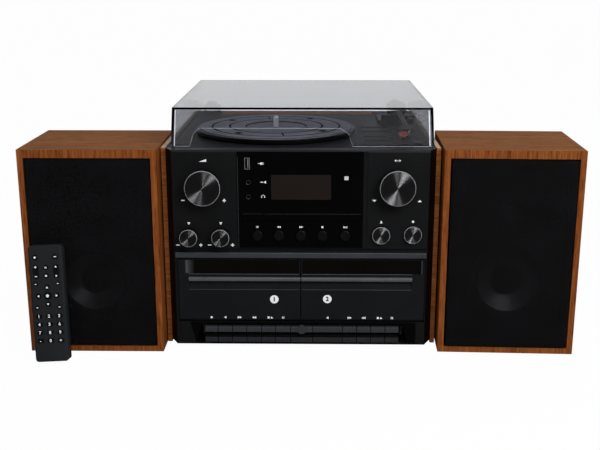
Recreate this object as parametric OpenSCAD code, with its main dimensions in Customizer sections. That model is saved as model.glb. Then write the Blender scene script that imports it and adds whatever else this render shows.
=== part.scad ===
// Stereo music centre: a turntable, a disc player and two cassette decks in one cabinet,
// with two bookshelf speakers and a remote control.
// X runs left to right, Y from the front to the back and Z up. Sizes are in millimetres.
// The origin is on the table, under the middle of the whole set.

/* [Cabinet] */
// Outer width across the two wooden cheeks
unit_w = 355; // [350:1:360]
// Height of the cheeks and of the deck plate
unit_h = 264.5; // [262:0.5:268]
// Depth of the cheeks
unit_d = 331; // [328:1:340]
// Thickness of one cheek
cheek_t = 6; // [5:0.5:7]
// How far the front stands before the cheeks
fascia_out = 18; // [16:1:20]
// Thickness of the front wall
wall = 4; // [3.5:0.5:4]

/* [Turntable] */
// Radius of the platter
platter_r = 109; // [106:1:112]
// Radius of the record spindle
spindle_r = 3.6; // [3.5:0.05:3.65]
// Distance from the arm's pivot to the stylus, along the tube
arm_len = 206; // [203:1:208]
// How far the arm swings in, from its rest to the last groove
arm_swing = 42; // [40:1:44]

/* [Lid] */
// Height of the lid above the deck
lid_h = 50; // [48:1:54]
// Width of the lid at its lower edge
lid_w = 334; // [330:1:335]
// Thickness of the clear walls
lid_t = 3; // [2.5:0.5:3]

/* [Controls] */
// Radius of the volume and select knobs
big_knob_r = 22.6; // [20:0.2:23]
// Radius of the bass and treble knobs and of the eject and record buttons
small_knob_r = 11.5; // [10:0.1:12]
// Radius of the five round buttons
button_r = 6.6; // [5.5:0.1:7]

/* [Speakers] */
// Width of one speaker
speaker_w = 173.3; // [168:0.1:176]
// Height of one speaker
speaker_h = 267; // [262:1:272]
// Depth of one speaker
speaker_d = 148; // [144:1:160]
// How far the right speaker is turned towards the middle, in degrees
right_turn = 2; // [0:0.5:4]

/* [Remote control] */
// Width of the remote control
remote_w = 43.5; // [42:0.5:46]
// Length of the remote control
remote_l = 148.5; // [147:0.5:152]
// Thickness of the remote control
remote_t = 15; // [14:0.5:16]

/* [Hidden] */
$fn = 64;

// Cabinet planes
half_in = unit_w / 2 - cheek_t;
cheek_front = -133;
cheek_back = cheek_front + unit_d;
face = cheek_front - fascia_out;
half_face = half_in - 9.5;
wall_back = face + wall;
plate_t = 3.5;
deck_z = unit_h - plate_t;
floor_gap = 6;
rear_y = cheek_back - 4;
fit = 0.05;

// Heights on the front
sill_z = 37;
door_low = 37.7;
door_high = 122;
door_open_high = 122.6;
bar_z = [124.7, 131.7];
groove_z = [132.2, 136.8];
panel_z = [139, 262.6];
panel_x = [-79.2, 79];
panel_chamfer = 5.2;
panel_proud = 1.6;
tray_x = [-73, 76.7];
tray_z = [174, 183.4];
button_z = 155.2;
button_x = [-54.7, -27.3, 0.8, 27.8, 56.8];
jack_x = -65.5;
aux_z = 223.9;
phones_z = 205.3;
usb_x = -66.7;
usb_z = 247.8;
usb_w = 7.2;
usb_h = 15.6;
big_knobs = [[-122.4, 218.2], [121.3, 218.7]];
tone_knobs = [[-142.1, 153.2], [-101.4, 153.4]];
metal_buttons = [[102.4, 155.3], [142.6, 156.1]];

// Control shafts, switches and boards behind the front
shaft_r = 3;
bush_r = 3.8;
board_y = -136;
board_t = 1.6;

// Cassette doors and keys
door_x = [[-157.7, -0.2], [0.8, 160]];
door_axis = [face + 4.5, door_low + 4.5];
rod_r = 1.2;
ridge_ends = [-144.4, 143.8];
key_rod = [-112, 21];
key_rod_r = 1.5;
key_edges_1 = [-124.9, -107.8, -89, -70.2, -50.9, -32.6, -12.9];
key_edges_2 = [15.9, 54.5, 73.2, 91.5, 110.1, 128.1];
key_gap = 0.4;
bay_z = [7.3, 33];

// Turntable
platter_c = [-36, -9];
platter_z = unit_h + 0.6;
rim_h = 6.4;
mat_z = platter_z + rim_h;
mat_t = 1.4;
drive_r = 75;
pulley_r = 5;
pulley_at = [platter_c[0] - 70, platter_c[1] + 59];
belt_gap = 0.4;
pivot = [138, 92];
tube_z = 283;
tube_r = 3;
tip_z = 274.4;
shell_turn = 13.6;
shell_l = 30;

// Lid
lid_x = 2;
lid_y = [-128.5, 186.5];
lid_z = unit_h + 0.5;
lid_top = unit_h + lid_h;
lid_draft = 3;
lid_axis = [190.5, unit_h + 5];
hinge_x = [-146, 150];
hinge_pin_r = 2;

// Speakers
speaker_gap = 1.1;
left_y = -164;
right_y = -160;
board_side = 7.5;
board_top = 10.5;
baffle_y = [9, 18];
woofer_z = 93;
tweeter_z = 190;

// Remote control
remote_lean = 10.2;
remote_roll = 2.9;
remote_foot = [-312.6, 3.4];
remote_touch = left_y - 2.7;
remote_y = remote_touch - remote_l * sin(remote_lean) - remote_t * cos(remote_lean);

// Block between two corners, from its ranges along X, Y and Z
module block(x, y, z) {
    translate([x[0], y[0], z[0]]) cube([x[1] - x[0], y[1] - y[0], z[1] - z[0]]);
}

// Round rods along the three axes
module rod_x(y, z, r, x) {
    translate([x[0], y, z]) rotate([0, 90, 0]) cylinder(r = r, h = x[1] - x[0]);
}

module rod_y(x, z, r, y) {
    translate([x, y[1], z]) rotate([90, 0, 0]) cylinder(r = r, h = y[1] - y[0]);
}

module rod_z(x, y, r, z) {
    translate([x, y, z[0]]) cylinder(r = r, h = z[1] - z[0]);
}

// Side profile drawn as (y, z), drawn out along X
module along_x(x) {
    translate([x[0], 0, 0]) rotate([90, 0, 90]) linear_extrude(x[1] - x[0]) children();
}

// Front profile drawn as (x, z), drawn out along Y
module along_y(y) {
    translate([0, y[1], 0]) rotate([90, 0, 0]) linear_extrude(y[1] - y[0]) children();
}

// Rectangle with round corners, from its ranges
module round_rect(x, z, r) {
    translate([x[0] + r, z[0]]) square([x[1] - x[0] - 2 * r, z[1] - z[0]]);
    translate([x[0], z[0] + r]) square([x[1] - x[0], z[1] - z[0] - 2 * r]);
    for (cx = [x[0] + r, x[1] - r], cz = [z[0] + r, z[1] - r]) translate([cx, cz]) circle(r);
}

// Plan of the front: flat in the middle, with both sides slanting back to the cheeks
module front_plan(inset) {
    side = half_in - 0.2 - inset * 1.1;
    middle = half_face - inset * 0.6;
    polygon([
        [-side, cheek_front + 0.001], [-middle, face + inset],
        [middle, face + inset], [side, cheek_front + 0.001]
    ]);
}

// Flat bottom plate with posts for the boards
module base_chassis() {
    plate = [floor_gap, floor_gap + 2.5];
    color([0.16, 0.16, 0.17]) {
        block([-half_in, half_in], [cheek_front + 0.2, rear_y], plate);
        for (x = [-97, 97], y = [-30, 160]) rod_z(x, y, 4, [plate[1], 20]);
    }
}

// Wooden side board
module cheek(side) {
    x0 = side < 0 ? -unit_w / 2 : half_in;
    color([0.45, 0.28, 0.16])
        block([x0, x0 + cheek_t], [cheek_front, cheek_back], [1.5, unit_h]);
}

module left_cheek() {
    cheek(-1);
}

module right_cheek() {
    cheek(1);
}

// Back plate with air slots, speaker terminals, line sockets and the mains inlet
module rear_panel() {
    inlet = [130, 40];
    line_x = [52, 70];
    terminal_x = [-76, -64, -36, -24];
    back = rear_y + 2.5;
    color([0.1, 0.1, 0.11]) difference() {
        union() {
            block([-half_in + 0.2, half_in - 0.2], [rear_y, back], [floor_gap, deck_z - 0.2]);
            block([-84, -16], [back, back + 1.5], [34, 62]);
            for (x = terminal_x) block([x - 4, x + 4], [back + 1.5, back + 6], [48, 58]);
            for (x = line_x) rod_y(x, 46, 5.5, [back, back + 5]);
            block([inlet[0] - 14, inlet[0] + 14], [rear_y - 16, rear_y], [inlet[1] - 9, inlet[1] + 9]);
        }
        for (x = terminal_x) rod_y(x, 42, 1.6, [rear_y - 1, back + 2]);
        for (x = line_x) rod_y(x, 46, 1.7, [rear_y - 1, back + 6]);
        for (side = [-1, 1])
            rod_y(inlet[0] + side * 4, inlet[1], 4.2, [rear_y - 12, back + 1]);
        block([inlet[0] - 4, inlet[0] + 4], [rear_y - 12, back + 1], [inlet[1] - 4.2, inlet[1] + 4.2]);
        for (i = [0 : 11]) {
            slot_x = -110 + i * 20;
            block([slot_x - 1.5, slot_x + 1.5], [rear_y - 1, back + 1], [150, 200]);
        }
    }
    color([0.7, 0.7, 0.72])
        for (side = [-1, 1])
            rod_y(inlet[0] + side * 4, inlet[1], 1.1, [rear_y - 12, rear_y - 2]);
}

// Upper front moulding: top lip, side slants, trim bar and the openings for what sits in it
module front_panel() {
    opening_x = [-76, 80];
    color([0.12, 0.12, 0.13]) difference() {
        union() {
            difference() {
                translate([0, 0, sill_z + 0.2]) linear_extrude(unit_h - sill_z - 0.2) front_plan(0);
                translate([0, 0, sill_z - 1]) linear_extrude(deck_z - sill_z + 1) front_plan(wall);
            }
            along_x([-160.5, 161])
                polygon([
                    [face + 0.5, bar_z[0] - 0.6], [face - 1.8, bar_z[0]],
                    [face - 2.4, bar_z[0] + 0.8], [face - 2.4, bar_z[1] - 0.8],
                    [face - 1.8, bar_z[1]], [face + 0.5, bar_z[1]]
                ]);
        }
        // Rounded upper edge
        along_x([-half_in - 1, half_in + 1])
            difference() {
                translate([face - 1, unit_h - 3]) square([4, 4]);
                translate([face + 3, unit_h - 3]) circle(3);
            }
        // Seam near the right end of the trim bar
        block([155.2, 155.7], [face - 3, face - 1.4], [bar_z[0] - 1, bar_z[1] + 0.3]);
        // Shadow groove above the trim bar
        block([-half_in, half_in], [face - 1, face + 2], groove_z);
        // Seat and opening of the display panel
        block([panel_x[0] - 0.2, panel_x[1] + panel_chamfer + 0.2], [face - 1, face + 2],
            [panel_z[0] - 0.2, panel_z[1] + 0.2]);
        block(opening_x, [face - 1, wall_back + 1], [142, 258]);
        // Openings of the two cassette decks
        block([door_x[0][0] - 0.6, door_x[1][1] + 0.6], [face - 5, wall_back + 12],
            [sill_z - 1, door_open_high]);
        // Holes of the knobs and the metal buttons
        for (k = big_knobs) rod_y(k[0], k[1], bush_r + 0.2, [face - 1, wall_back + 1]);
        for (k = tone_knobs) rod_y(k[0], k[1], bush_r + 0.2, [face - 1, wall_back + 1]);
        for (k = metal_buttons) rod_y(k[0], k[1], small_knob_r + 0.4, [face - 1, wall_back + 1]);
    }
}

// Glossy middle panel with the display window, the tray slot, the sockets and button holes
module display_panel() {
    back = face + 2;
    front = face - panel_proud;
    color([0.03, 0.03, 0.035]) difference() {
        translate([0, 0, panel_z[0]]) linear_extrude(panel_z[1] - panel_z[0])
            polygon([
                [panel_x[0], back], [panel_x[0], front], [panel_x[1], front],
                [panel_x[1] + panel_chamfer, face], [panel_x[1] + panel_chamfer, back]
            ]);
        block([tray_x[0] - 0.5, tray_x[1] + 0.5], [front - 1, back + 1],
            [tray_z[0] - 0.5, tray_z[1] + 0.5]);
        for (x = button_x) rod_y(x, button_z, button_r + 0.4, [front - 1, back + 1]);
        block([usb_x - usb_w / 2, usb_x + usb_w / 2], [front - 1, back + 1],
            [usb_z - usb_h / 2, usb_z + usb_h / 2]);
        for (z = [aux_z, phones_z]) rod_y(jack_x, z, 3.2, [front - 1, back + 1]);
        // Thin window before the display
        block([-36.9, 38.5], [face - 0.4, back + 1], [201.8, 233.7]);
    }
}

// Side profile of a key's head: upper facet, hollow below it, and a lower lip
module key_profile() {
    top = bay_z[1] - 1.6;
    difference() {
        polygon([
            [-138, top], [face - 3.4, top], [face - 4.4, top - 0.9], [face - 5, 24.6],
            [face - 5.2, 17.2], [face - 5, 10.6], [-138, 10.6]
        ]);
        translate([face - 5.4, 21]) circle(3.65);
    }
}

// Lower front moulding: the sill under the doors, with the bay that the keys stand in
module lower_bezel() {
    filler = [key_edges_1[6] + key_gap, key_edges_2[0] - key_gap];
    middle = (filler[0] + filler[1]) / 2;
    color([0.12, 0.12, 0.13]) {
        difference() {
            translate([0, 0, floor_gap]) linear_extrude(sill_z - floor_gap) front_plan(0);
            translate([0, 0, bay_z[0]]) linear_extrude(sill_z - 3 - bay_z[0]) front_plan(wall);
            along_y([face - 1, cheek_front + 1])
                polygon([
                    [-137, bay_z[0]], [-130, bay_z[1]], [133, bay_z[1]], [140, bay_z[0]]
                ]);
            // Key travel behind the bay
            block([-140, 143], [face + 3, cheek_front + 1], bay_z);
            // Seams beside the bay
            for (x = [-145, 150]) block([x, x + 0.5], [face - 1, face + 0.6], [floor_gap - 1, sill_z + 1]);
        }
        // Fixed filler between the two groups of keys
        difference() {
            along_x(filler) key_profile();
            block(filler, [-140, -137], [0, 40]);
        }
        block(filler, [-150, -146], [bay_z[0], 10.6]);
        block(filler, [-146, -140], [31.4, sill_z - 3]);
        rod_y(middle, 28, 6, [face - 5.2, face - 2]);
    }
}

// Top plate with the bearing, the ribbed bands beside the platter and the lid's hinge ears
module turntable_deck() {
    bands = [[-81, -66], [-51, -36], [-8, 16], [28, 40]];
    color([0.13, 0.13, 0.14]) difference() {
        union() {
            block([-half_in + 0.2, half_in - 0.2], [cheek_front + 1, rear_y + 2.5], [deck_z, unit_h]);
            rod_z(platter_c[0], platter_c[1], 9, [deck_z - 16, deck_z]);
            for (b = bands) block([84, 122], b, [unit_h, unit_h + 0.8]);
            for (hx = hinge_x, side = [-1, 1])
                translate([hx + side * 11 - 2.5, 0, 0]) along_x([0, 5]) {
                    translate([lid_axis[0], lid_axis[1]]) circle(3.8);
                    translate([lid_axis[0] - 3.8, unit_h - 1])
                        square([7.6, lid_axis[1] - unit_h + 1]);
                }
        }
        for (hx = hinge_x) rod_x(lid_axis[0], lid_axis[1], hinge_pin_r + fit, [hx - 15, hx + 15]);
        // Spindle bearing, pulley hole and speed switch slot
        rod_z(platter_c[0], platter_c[1], shaft_r + fit, [deck_z - 14, unit_h + 1]);
        rod_z(pulley_at[0], pulley_at[1], 4, [deck_z - 1, unit_h + 1]);
        block([149, 153], [-115, -101], [deck_z - 1, unit_h + 1]);
    }
}

// Circuit boards with the control bodies, the display module and the mains transformer
module main_board() {
    upper_z = [188, 254];
    low = wall_back + 0.2;
    color([0.1, 0.3, 0.16]) {
        block([-150, 150], [board_y, board_y + board_t], upper_z);
        for (side = [-1, 1])
            block([side * 124 - 28, side * 124 + 28], [board_y, board_y + board_t], [141, upper_z[0]]);
        block([-70, 72], [board_y, board_y + board_t], [143, 168]);
        for (side = [-1, 1]) block([side * 97 - 31, side * 97 + 31], [-40, 170], [20, 20 + board_t]);
        block([-66, 66], [100, 170], [20, 20 + board_t]);
    }
    // Encoders, pots and switches
    color([0.5, 0.5, 0.52]) difference() {
        union() {
            for (k = concat(big_knobs, tone_knobs)) {
                block([k[0] - 7.5, k[0] + 7.5], [low + 1.3, board_y], [k[1] - 7.5, k[1] + 7.5]);
                rod_y(k[0], k[1], bush_r, [face + 0.5, low + 1.3]);
            }
        }
        for (k = concat(big_knobs, tone_knobs))
            rod_y(k[0], k[1], shaft_r + fit, [face, board_y - 0.4]);
    }
    color([0.2, 0.2, 0.22]) {
        for (k = metal_buttons) rod_y(k[0], k[1], 3.5, [-142, board_y]);
        for (x = button_x) rod_y(x, button_z, 3, [-139, board_y]);
        block([-40, 42], [face + 2.2, board_y], [198, 237]);
    }
    color([0.55, 0.55, 0.57]) block([-140, -84], [96, 144], [20 + board_t, 66]);
    color([0.75, 0.75, 0.77])
        for (i = [0 : 5]) block([84 + i * 9, 86 + i * 9], [110, 150], [20 + board_t, 62]);
}

// Disc loader frame: tray rails, sled with the hub, and the clamp bridge above the tray
module cd_mechanism() {
    rail = [[-70, -62.5], [66.5, 74]];
    color([0.25, 0.25, 0.27]) {
        block([-86, 90], [-130, -8], [157, 160]);
        for (x = [-86, 80]) block([x, x + 7], [wall_back, -130], [157, 160]);
        for (r = rail) block(r, [-130, -8], [160, 182]);
        block([-70, 74], [-92, -72], [182, 185]);
        block([-28, 32], [-70, -30], [160, 170]);
    }
    color([0.6, 0.6, 0.62]) {
        rod_z(2, -82, 7, [160, 173]);
        rod_z(2, -82, 13, [181.2, 182]);
    }
}

// Tape transports of both decks, with their spindles, the keys' rod and the door brackets
module cassette_mechanisms() {
    plate = [-125, -122];
    color([0.3, 0.3, 0.32]) {
        for (d = [0, 1]) {
            cx = (door_x[d][0] + door_x[d][1]) / 2;
            block([cx - 72, cx + 72], plate, [42, 118]);
            block([cx - 50, cx + 50], [plate[1], -96], [44, 84]);
            for (side = [-1, 1]) {
                rod_y(cx + side * 21, 88, 3, [-133, plate[0]]);
                rod_y(cx + side * 24, 62, 19, [-96, -88]);
            }
        }
        // Hangers for the keys' rod, down to the bottom plate
        for (x = [-132, -1.4, 132])
            difference() {
                block([x, x + 4], [-122, -102], [floor_gap + 2.5, 42]);
                rod_x(key_rod[0], key_rod[1], key_rod_r, [x - 1, x + 5]);
            }
        block([-132, 136], [-122, -102], [42, 44]);
    }
    color([0.75, 0.75, 0.77])
        rod_x(key_rod[0], key_rod[1], key_rod_r, [-134, 138]);
    // Brackets round the doors' hinge rods
    color([0.3, 0.3, 0.32])
        for (d = [0, 1], side = [-1, 1]) {
            cx = (door_x[d][0] + door_x[d][1]) / 2 + side * 66;
            difference() {
                along_x([cx - 3, cx + 3]) {
                    translate(door_axis) circle(2.5);
                    translate([door_axis[0], door_axis[1] - 1.6])
                        square([plate[0] - door_axis[0], 3.2]);
                }
                rod_x(door_axis[0], door_axis[1], rod_r + fit, [cx - 4, cx + 4]);
            }
        }
}

// Motor can under the deck
module platter_motor() {
    color([0.6, 0.6, 0.62]) difference() {
        rod_z(pulley_at[0], pulley_at[1], 17, [deck_z - 24, deck_z]);
        rod_z(pulley_at[0], pulley_at[1], 1 + fit, [deck_z - 18, deck_z + 1]);
    }
}

// Block that carries the arm, with its lift shelf and, at the front, the arm's rest
module arm_base() {
    rest_y = -62;
    color([0.09, 0.09, 0.1]) {
        difference() {
            union() {
                block([111, 163], [70, 128], [unit_h, unit_h + 4]);
                rod_z(pivot[0], pivot[1], 21, [unit_h + 4, unit_h + 8.5]);
            }
            rod_z(pivot[0], pivot[1], 3 + fit, [unit_h + 1, unit_h + 10]);
        }
        block([pivot[0] - 24, pivot[0] + 8], [58, 64], [unit_h, unit_h + 13.5]);
        // Ears of the cueing lever
        for (x = [149.4, 159.6])
            difference() {
                block([x, x + 3], [66, 69.8], [unit_h, unit_h + 12]);
                rod_x(67.9, unit_h + 9, 1 + fit, [x - 1, x + 4]);
            }
        // Rest, open on the side that the arm leaves by
        block([pivot[0] - 5, pivot[0] + 8], [rest_y - 5, rest_y + 5], [unit_h, unit_h + 5]);
        block([pivot[0] - 3, pivot[0] + 6], [rest_y - 3, rest_y + 3], [unit_h + 5, tube_z - tube_r - 0.5]);
        block([pivot[0] + 3.5, pivot[0] + 6], [rest_y - 3, rest_y + 3],
            [tube_z - tube_r - 0.5, tube_z + 2]);
    }
}

// Round socket with a bore for a 3.5 mm plug
module jack(z) {
    difference() {
        union() {
            rod_y(jack_x, z, 3, [face - panel_proud - 0.5, face + 2.4]);
            block([jack_x - 4.5, jack_x + 4.5], [face + 2.4, face + 14], [z - 4, z + 4]);
        }
        rod_y(jack_x, z, 1.8, [face - panel_proud - 1, face + 12.5]);
    }
}

// Front sockets: a flat four-contact socket and two plug sockets
module front_sockets() {
    color([0.6, 0.6, 0.62]) {
        difference() {
            block([usb_x - 3.3, usb_x + 3.3], [face - 1, face + 14], [usb_z - 7.3, usb_z + 7.3]);
            block([usb_x - 2.6, usb_x + 2.6], [face - 2, face + 11], [usb_z - 6.6, usb_z + 6.6]);
        }
        block([usb_x + 0.2, usb_x + 2], [face + 0.6, face + 11], [usb_z - 5.6, usb_z + 5.6]);
    }
    color([0.05, 0.05, 0.05]) {
        jack(aux_z);
        jack(phones_z);
    }
}

// Four soft feet under the bottom plate
module feet() {
    color([0.05, 0.05, 0.05])
        for (x = [-150, 150], y = [-118, 178]) rod_z(x, y, 10, [0, floor_gap]);
}

// Outline of the lid in front view, narrower by its draft at the top
module lid_front_view(inset) {
    half = lid_w / 2 - inset;
    top = lid_top - inset;
    low = inset > 0 ? lid_z - 1 : lid_z;
    polygon([
        [lid_x - half, low], [lid_x - half + lid_draft, top],
        [lid_x + half - lid_draft, top], [lid_x + half, low]
    ]);
}

module lid_side_view(inset) {
    top = lid_top - inset;
    low = inset > 0 ? lid_z - 1 : lid_z;
    polygon([
        [lid_y[0] + inset, low], [lid_y[0] + inset + 1, top],
        [lid_y[1] - inset - 8, top], [lid_y[1] - inset, low]
    ]);
}

// Clear lid with the cut-out that a record reaches through, and its two hinge knuckles
module dust_cover() {
    color([0.35, 0.35, 0.38, 0.4]) {
        difference() {
            intersection() {
                along_y([lid_y[0] - 1, lid_y[1] + 1]) lid_front_view(0);
                along_x([lid_x - lid_w, lid_x + lid_w]) lid_side_view(0);
            }
            intersection() {
                along_y([lid_y[0] - 1, lid_y[1] + 1]) lid_front_view(lid_t);
                along_x([lid_x - lid_w, lid_x + lid_w]) lid_side_view(lid_t);
            }
            along_y([lid_y[0] - 2, lid_y[0] + lid_t + 3]) {
                polygon([
                    [-141.5, lid_z - 1], [-136, 281], [-129, 288], [50, 288], [60.5, 281],
                    [66.5, lid_z - 1]
                ]);
            }
            // Notches round the hinge ears
            for (hx = hinge_x)
                block([hx - 15, hx + 15], [lid_y[1] - 10, lid_y[1] + 1], [lid_z - 1, unit_h + 13]);
        }
        for (hx = hinge_x) {
            along_x([hx - 7.5, hx + 7.5]) {
                translate(lid_axis) circle(3.5);
                polygon([
                    [lid_axis[0] - 3.4, lid_axis[1]], [lid_y[1] - 4.9, unit_h + 14],
                    [lid_y[1] - 2.5, unit_h + 14], [lid_axis[0] + 1.5, lid_axis[1] + 3]
                ]);
            }
            rod_x(lid_axis[0], lid_axis[1], hinge_pin_r, [hx - 13, hx + 13]);
        }
    }
}

// Platter: rim, top plate, inner drive ring and the spindle through the middle
module platter() {
    top = platter_z + rim_h;
    color([0.1, 0.1, 0.11])
        translate([platter_c[0], platter_c[1], 0]) rotate_extrude($fn = 128)
            polygon([
                [shaft_r, platter_z], [12, platter_z], [12, top - 2.2],
                [drive_r - 3, top - 2.2], [drive_r - 3, platter_z + 0.4],
                [drive_r, platter_z + 0.4], [drive_r, top - 2.2],
                [platter_r - 3, top - 2.2], [platter_r - 3, platter_z],
                [platter_r, platter_z + 0.5], [platter_r, top - 1], [platter_r - 1, top],
                [platter_r - 3, top], [platter_r - 3, top - 0.6], [spindle_r, top - 0.6],
                [spindle_r, top - 1], [shaft_r, top - 1]
            ]);
    color([0.75, 0.75, 0.77])
        translate([platter_c[0], platter_c[1], 0]) {
            translate([0, 0, deck_z - 13.5]) cylinder(r = shaft_r, h = top - deck_z + 13.5);
            translate([0, 0, top - 1]) cylinder(r = spindle_r, h = 14);
            translate([0, 0, top + 13]) cylinder(r1 = spindle_r, r2 = 2, h = 2.4);
        }
}

// Ribbed mat with four small raised pads
module platter_mat() {
    low = mat_z - 0.6;
    high = mat_z + mat_t;
    outer = platter_r - 3.2;
    pad_angles = [38, 142, 215, 325];
    color([0.14, 0.14, 0.15])
        translate([platter_c[0], platter_c[1], 0]) {
            rotate_extrude($fn = 128)
                polygon([
                    [spindle_r + 0.3, low], [outer, low], [outer, high - 0.4],
                    [outer - 1, high], [88, high], [88, high - 0.3], [86, high - 0.3], [86, high],
                    [62, high], [62, high - 0.4], [60, high - 0.4], [60, high],
                    [50, high], [46, high - 0.7], [spindle_r + 0.3, high - 0.7]
                ]);
            for (a = pad_angles)
                rotate([0, 0, a]) translate([76, -4, high - 0.5]) cube([6, 8, 0.9]);
        }
}

// Pulley on the motor's shaft
module motor_pulley() {
    color([0.72, 0.6, 0.35]) {
        rod_z(pulley_at[0], pulley_at[1], pulley_r, [unit_h + 1.2, unit_h + 4]);
        rod_z(pulley_at[0], pulley_at[1], 1, [deck_z - 17, unit_h + 2]);
    }
}

// Outline of the belt round the drive ring and the pulley, at its gap from both
module belt_outline(gap) {
    big = drive_r + gap;
    small = pulley_r + gap;
    run = [pulley_at[0] - platter_c[0], pulley_at[1] - platter_c[1]];
    dist = norm(run);
    spread = acos((big - small) / dist);
    steps = 72;
    rotate(atan2(run[1], run[0]))
        polygon([
            for (i = [0 : steps])
                let (a = spread + (360 - 2 * spread) * i / steps) [big * cos(a), big * sin(a)],
            for (i = [0 : 12])
                let (a = -spread + 2 * spread * i / 12) [dist + small * cos(a), small * sin(a)]
        ]);
}

module drive_belt() {
    color([0.03, 0.03, 0.03])
        translate([platter_c[0], platter_c[1], unit_h + 1.4]) linear_extrude(2.2)
            difference() {
                belt_outline(belt_gap + 0.8);
                belt_outline(belt_gap);
            }
}

// Arm bearing that turns in the base, with two posts on either side of the tube
module arm_gimbal() {
    color([0.1, 0.1, 0.11]) {
        rod_z(pivot[0], pivot[1], 3, [unit_h + 1.5, unit_h + 10]);
        rod_z(pivot[0], pivot[1], 13.4, [unit_h + 9, unit_h + 12]);
        for (side = [-1, 1]) {
            x = pivot[0] + side * 11;
            difference() {
                block([x - 2.2, x + 2.2], [pivot[1] - 6, pivot[1] + 6], [unit_h + 12, tube_z + 5]);
                rod_x(pivot[1], tube_z, 1.5 + fit, [x - 3, x + 3]);
            }
        }
    }
}

// Straight arm tube with its pivot block, counterweight and the angled head
module tonearm() {
    neck = pivot[1] - arm_len + shell_l * cos(shell_turn);
    color([0.12, 0.12, 0.13]) {
        rod_x(pivot[1], tube_z, 1.5, [pivot[0] - 13, pivot[0] + 13]);
        block([pivot[0] - 8, pivot[0] + 8], [pivot[1] - 9, pivot[1] + 9],
            [tube_z - 4.5, tube_z + 4.5]);
        rod_y(pivot[0], tube_z, tube_r, [pivot[1] + 8, pivot[1] + 20]);
        rod_y(pivot[0], tube_z, 7.5, [pivot[1] + 16, pivot[1] + 28]);
        rod_y(pivot[0], tube_z, tube_r, [neck, pivot[1] - 8]);
        translate([pivot[0], neck, 0]) rotate([0, 0, -shell_turn]) {
            block([-7, 7], [-shell_l - 6, 2], [tube_z + 0.6, tube_z + 3]);
            block([-4, 4], [-6, 4], [tube_z - 3, tube_z + 3]);
            block([7, 14], [-shell_l + 4, -shell_l + 6.5], [tube_z + 0.6, tube_z + 2]);
        }
    }
}

// Cartridge under the head, with its stylus holder and tip
module cartridge() {
    neck = pivot[1] - arm_len + shell_l * cos(shell_turn);
    color([0.75, 0.08, 0.06])
        translate([pivot[0], neck, 0]) rotate([0, 0, -shell_turn]) {
            block([-6, 6], [-shell_l - 4, -shell_l + 12], [tip_z + 3.2, tube_z + 0.6]);
            block([-4, 4], [-shell_l - 5, -shell_l + 6], [tip_z + 1.6, tip_z + 3.2]);
            translate([0, -shell_l, tip_z]) cylinder(r1 = 0.3, r2 = 1, h = 1.6);
        }
}

// Cueing lever on its own short axle
module cue_lever() {
    axle = [67.9, unit_h + 9];
    color([0.1, 0.1, 0.11]) {
        rod_x(axle[0], axle[1], 1, [149.6, 162.4]);
        rod_x(axle[0], axle[1], 2.2, [153, 159]);
        block([154.5, 157.5], [axle[0] - 26, axle[0]], [axle[1] - 1.2, axle[1] + 1.2]);
        block([153, 159], [axle[0] - 32, axle[0] - 24], [axle[1] - 1.8, axle[1] + 1.8]);
    }
}

// Sliding speed switch on the deck
module speed_switch() {
    color([0.05, 0.05, 0.05]) {
        block([149.4, 152.6], [-110, -106], [deck_z - 3, unit_h + 1.5]);
        block([146, 156], [-113, -103], [unit_h + 0.5, unit_h + 3.5]);
    }
}

// Large turned knob, hollow where the shaft enters
module big_knob(at) {
    back = face - 2;
    front = face - 14;
    color([0.5, 0.5, 0.52]) difference() {
        translate([at[0], back, at[1]]) rotate([90, 0, 0]) rotate_extrude($fn = 96)
            polygon([
                [0, 0], [big_knob_r - 0.8, 0], [big_knob_r, 1], [big_knob_r, back - front - 1.2],
                [big_knob_r - 1.2, back - front], [0, back - front]
            ]);
        rod_y(at[0], at[1], shaft_r + fit, [front + 4.6, back + 1]);
    }
}

module volume_knob() {
    big_knob(big_knobs[0]);
}

module select_knob() {
    big_knob(big_knobs[1]);
}

// Shaft that a knob turns on, pressed in to click
module push_shaft(at) {
    color([0.7, 0.7, 0.72]) rod_y(at[0], at[1], shaft_r, [face - 9, board_y - 2]);
}

module volume_shaft() {
    push_shaft(big_knobs[0]);
}

module select_shaft() {
    push_shaft(big_knobs[1]);
}

// Small tone knob, in one piece with its shaft
module tone_knob(at) {
    back = face - 1;
    height = 11;
    color([0.5, 0.5, 0.52]) {
        translate([at[0], back, at[1]]) rotate([90, 0, 0]) rotate_extrude()
            polygon([
                [0, 0], [small_knob_r - 0.6, 0], [small_knob_r, 0.8], [small_knob_r, height - 0.8],
                [small_knob_r - 0.8, height], [0, height]
            ]);
        rod_y(at[0], at[1], shaft_r, [back - 1, board_y - 2]);
    }
}

module bass_knob() {
    tone_knob(tone_knobs[0]);
}

module treble_knob() {
    tone_knob(tone_knobs[1]);
}

// Push button: cap through the front, a flange that holds it in, and a stem
module push_button(at, r, out, flange_y, stem_r, stem_end) {
    translate([at[0], 0, at[1]]) {
        translate([0, flange_y, 0]) rotate([90, 0, 0]) rotate_extrude()
            polygon([
                [0, 0], [r, 0], [r, flange_y - face + out - 0.6],
                [r - 0.6, flange_y - face + out], [0, flange_y - face + out]
            ]);
        rod_y(0, 0, r + 1.2, [flange_y, flange_y + 1.4]);
        rod_y(0, 0, stem_r, [flange_y + 1.4, stem_end]);
    }
}

module metal_button(at) {
    color([0.5, 0.5, 0.52]) push_button(at, small_knob_r, 4, wall_back + 0.4, 3, -144);
}

module eject_button() {
    metal_button(metal_buttons[0]);
}

module record_button() {
    metal_button(metal_buttons[1]);
}

module round_button(i) {
    color([0.06, 0.06, 0.065])
        push_button([button_x[i - 1], button_z], button_r, 4.6, face + 2.4, 2.5, -141);
}

module round_button_1() {
    round_button(1);
}

module round_button_2() {
    round_button(2);
}

module round_button_3() {
    round_button(3);
}

module round_button_4() {
    round_button(4);
}

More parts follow.
